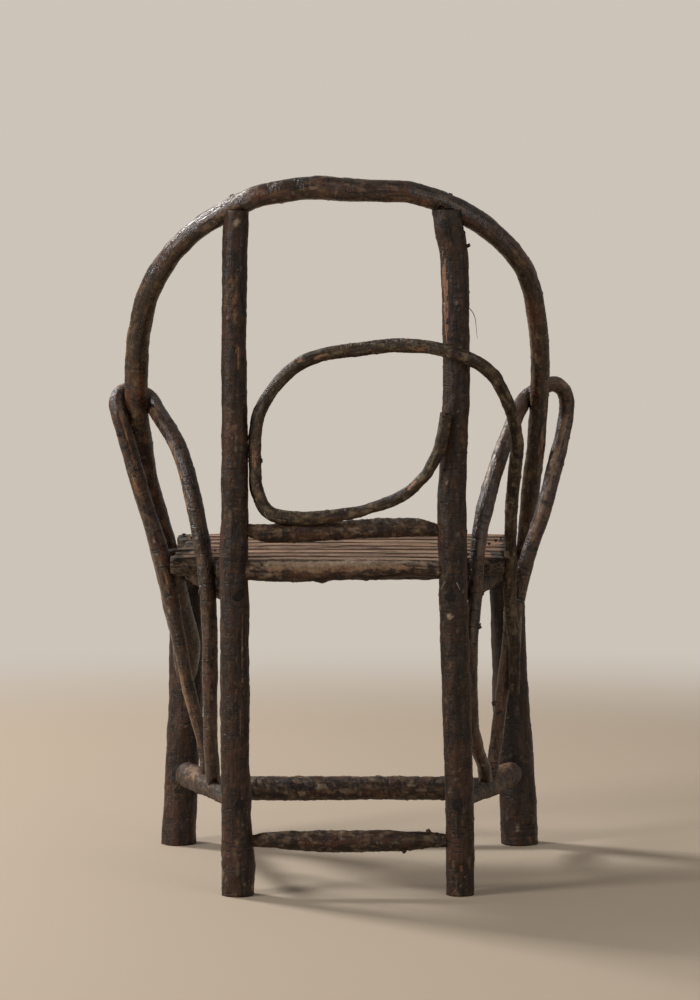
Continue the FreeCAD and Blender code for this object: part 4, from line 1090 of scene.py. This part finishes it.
def makeSlat(node, seed):
    look = slatLook
    low, high = (np.array(corner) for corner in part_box(node))
    corners = nodeCorners(node)
    count, sides = int((high[0] - low[0]) / (look["ring"] * mm)), look["sides"]
    places = np.linspace(low[0] + 0.05 * mm, high[0] - 0.05 * mm, count)
    rings, grains = [], []
    for x in places:
        points = cutAcross(corners, np.array((x, (low[1] + high[1]) / 2, high[2])),
                           np.array((1.0, 0.0, 0.0)), 0.2)
        front, rear = points[:, 1].min(), points[:, 1].max()
        top, bottom = points[:, 2].max(), points[:, 2].min()
        profile = slatProfile(rear - front, top - bottom, top, look)
        rings.append([(x, (front + rear) / 2 + y, z) for y, z in profile])
        grains.append([(x - low[0], y + 0.3 * seed, z - top) for y, z in profile])
    rings, grains = np.array(rings), np.array(grains)
    turn = 2 * math.pi * np.arange(sides) / sides
    flat = np.clip(0.5 + 2.5 * np.sin(turn), 0, 1)[None, :] * np.ones((count, 1))
    scales = []
    for lengthMm, widthMm in (look["rippleGrain"], look["lumpGrain"]):
        scales.append(np.array((1 / lengthMm, 1 / widthMm, 1 / widthMm)))
    ripple = layeredNoise(grains * scales[0] / mm + seed, 5)
    lumps = layeredNoise(grains * scales[1] / mm + seed, 9, 2)
    outward = rings - rings.mean(1, keepdims=True)
    outward /= np.linalg.norm(outward, axis=2)[..., None]
    # grain ripples sink the planed top, lumps raise the bark, nail heads stay seated
    near = np.full(flat.shape, np.inf)
    for seat in nails:
        near = np.minimum(near, np.linalg.norm(rings - seat, axis=2))
    away = np.clip((near / mm - look["nailClear"]) / look["nailFade"], 0, 1)
    relief = away * (look["ripple"] * ripple - look["sunk"]) * flat
    relief = relief + (look["lumps"] * lumps - look["sunk"]) * (1 - flat)
    # rough bark closes round both ends
    inward = np.minimum(places - low[0], high[0] - places)[:, None] / mm
    worn = np.clip((inward + 5 * lumps - look["barkEnd"]) / 5 + 0.5, 0, 1)
    relief = relief + (1 - worn) * away * look["rough"] * (lumps - 0.6)
    shrink = look["cornerShare"] * np.clip(1 - inward / look["cornerLength"], 0, 1) ** 2
    rings = rings + outward * (relief * mm)[..., None]
    rings += (rings.mean(1, keepdims=True) - rings) * (shrink * (away > 0.5))[..., None]
    # painted shade along the long edges, where the slats meet, and dirt in the grain's hollows
    edge = np.clip((np.abs(np.cos(turn)) - look["edgeFrom"] + 0.2 * ripple) / 0.15, 0, 1)
    dark = np.maximum(look["edgeShade"] * edge * flat, 0.7 * (np.abs(ripple) < 0.04) * flat)
    vertices, faces = [*rings.reshape(-1, 3)], gridFaces(count, sides, 0, True)
    for row, flip in ((0, False), (count - 1, True)):
        at = len(vertices)
        vertices.append(rings[row].mean(0))
        for j in range(sides):
            loop = (row * sides + j, row * sides + (j + 1) % sides, at)
            faces.append(loop[::-1] if flip else loop)
    columns = {key: [0.0] * len(vertices) for key in maskNames}
    columns["bare"][:-2] = (flat * worn).reshape(-1)
    columns["light"] = [look["paleShare"] * ((0.61 * seed) % 1)] * len(vertices)
    columns["dark"][:-2] = dark.reshape(-1)
    grains = [*grains.reshape(-1, 3), grains[0].mean(0), grains[-1].mean(0)]
    writeMesh(node + "_wood", vertices, faces, grains, columns, slatPiece, [node])


for seed, node in enumerate(sorted(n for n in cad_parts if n.startswith("seat_slat")), 1):
    makeSlat(node, seed)
print("slats made")


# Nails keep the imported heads

def rustedIron(name):
    # Cut iron left bare for years: near black with brown rust in the hollows, dull.
    finish = newMaterial(name)
    place = addNode(finish, "TexCoord", out="Object")
    rust = addNode(finish, "TexNoise", {0: place, "Scale": 1 / (1.5 * mm)})
    share = addNode(finish, "MapRange", {0: rust, 1: 0.4, 2: 0.65})
    colour = addNode(finish, "Mix", {0: share, 6: "#2a1e17", 7: "#4f3222"}, 2, data_type="RGBA")
    bump = addNode(finish, "Bump", {"Height": rust, "Distance": 0.2 * mm})
    gloss = addNode(finish, "Math", {0: rust, 1: 0.3, 2: 0.5}, operation="MULTIPLY_ADD")
    shader = addNode(finish, "BsdfPrincipled", {
        "Base Color": colour, "Roughness": gloss, "Metallic": 0.4, "Normal": bump})
    addNode(finish, "OutputMaterial", {0: shader})
    return finish


nailIron = rustedIron("rustedCutIron")
for node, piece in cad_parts.items():
    if node.startswith("nails_"):
        piece.data.materials.clear()
        piece.data.materials.append(nailIron)
print("nails finished")


# Floor, backdrop and lights

roomLook = {
    "wall": "#cdc4b9", "floor": "#ad9c88", "soft": "#f4f0ea",
    "clearRadius": 1.3, "fadeRadius": 2.6,        # metres: lit floor, then backdrop colour
    "worldStrength": 0.36,
    "lamps": {                                    # metres and watts
        "key": {"place": (3.4, 1.9, 2.0), "size": 1.1, "power": 108},
        "fill": {"place": (-2.6, 3.4, 1.8), "size": 2.0, "power": 34},
        "rim": {"place": (2.5, -1.6, 3.0), "size": 0.7, "power": 140},
    },
}


def paleFloor(look):
    # plain matt floor that turns into the backdrop colour away from the chair
    finish = newMaterial("paleFloor")
    place = addNode(finish, "TexCoord", out="Object")
    away = addNode(finish, "VectorMath", {0: place}, "Value", operation="LENGTH")
    far = addNode(finish, "MapRange", {0: away, 1: look["clearRadius"], 2: look["fadeRadius"]},
                  interpolation_type="SMOOTHSTEP")
    seen = addNode(finish, "LightPath", out="Is Camera Ray")
    shown = addNode(finish, "Math", {0: far, 1: seen}, operation="MULTIPLY")
    lit = addNode(finish, "BsdfPrincipled", {"Base Color": look["floor"], "Roughness": 0.75})
    glow = addNode(finish, "Emission", {0: look["wall"]})
    both = addNode(finish, "MixShader", {0: shown, 1: lit, 2: glow})
    addNode(finish, "OutputMaterial", {0: both})
    return finish


def makeFloor(look):
    radius, count = 14.0, 96
    ring = [(radius * math.cos(2 * math.pi * k / count), radius * math.sin(2 * math.pi * k / count), 0)
            for k in range(count)]
    mesh = bpy.data.meshes.new("floor")
    mesh.from_pydata(ring, [], [tuple(range(count))])
    mesh.materials.append(paleFloor(look))
    floor = bpy.data.objects.new("floor", mesh)
    bpy.context.scene.collection.objects.link(floor)


def makeWorld(look):
    world = bpy.data.worlds.new("studio")
    bpy.context.scene.world = world
    world.use_nodes = True
    world.node_tree.nodes.clear()
    seen = addNode(world, "LightPath", out="Is Camera Ray")
    soft = addNode(world, "Background", {0: look["soft"], 1: look["worldStrength"]})
    wall = addNode(world, "Background", {0: look["wall"]})
    both = addNode(world, "MixShader", {0: seen, 1: soft, 2: wall})
    addNode(world, "OutputWorld", {0: both})


def addLamp(name, look):
    data = bpy.data.lights.new(name, "AREA")
    data.size = look["size"]
    data.energy = look["power"]
    lamp = bpy.data.objects.new(name, data)
    lamp.location = look["place"]
    aim = Vector((0, 0, 0.5)) - lamp.location
    lamp.rotation_euler = aim.to_track_quat("-Z", "Y").to_euler()
    bpy.context.scene.collection.objects.link(lamp)


makeFloor(roomLook)
makeWorld(roomLook)
for lampName, lampLook in roomLook["lamps"].items():
    addLamp(lampName, lampLook)
bpy.context.scene.view_settings.view_transform = "Standard"
print("room lit")
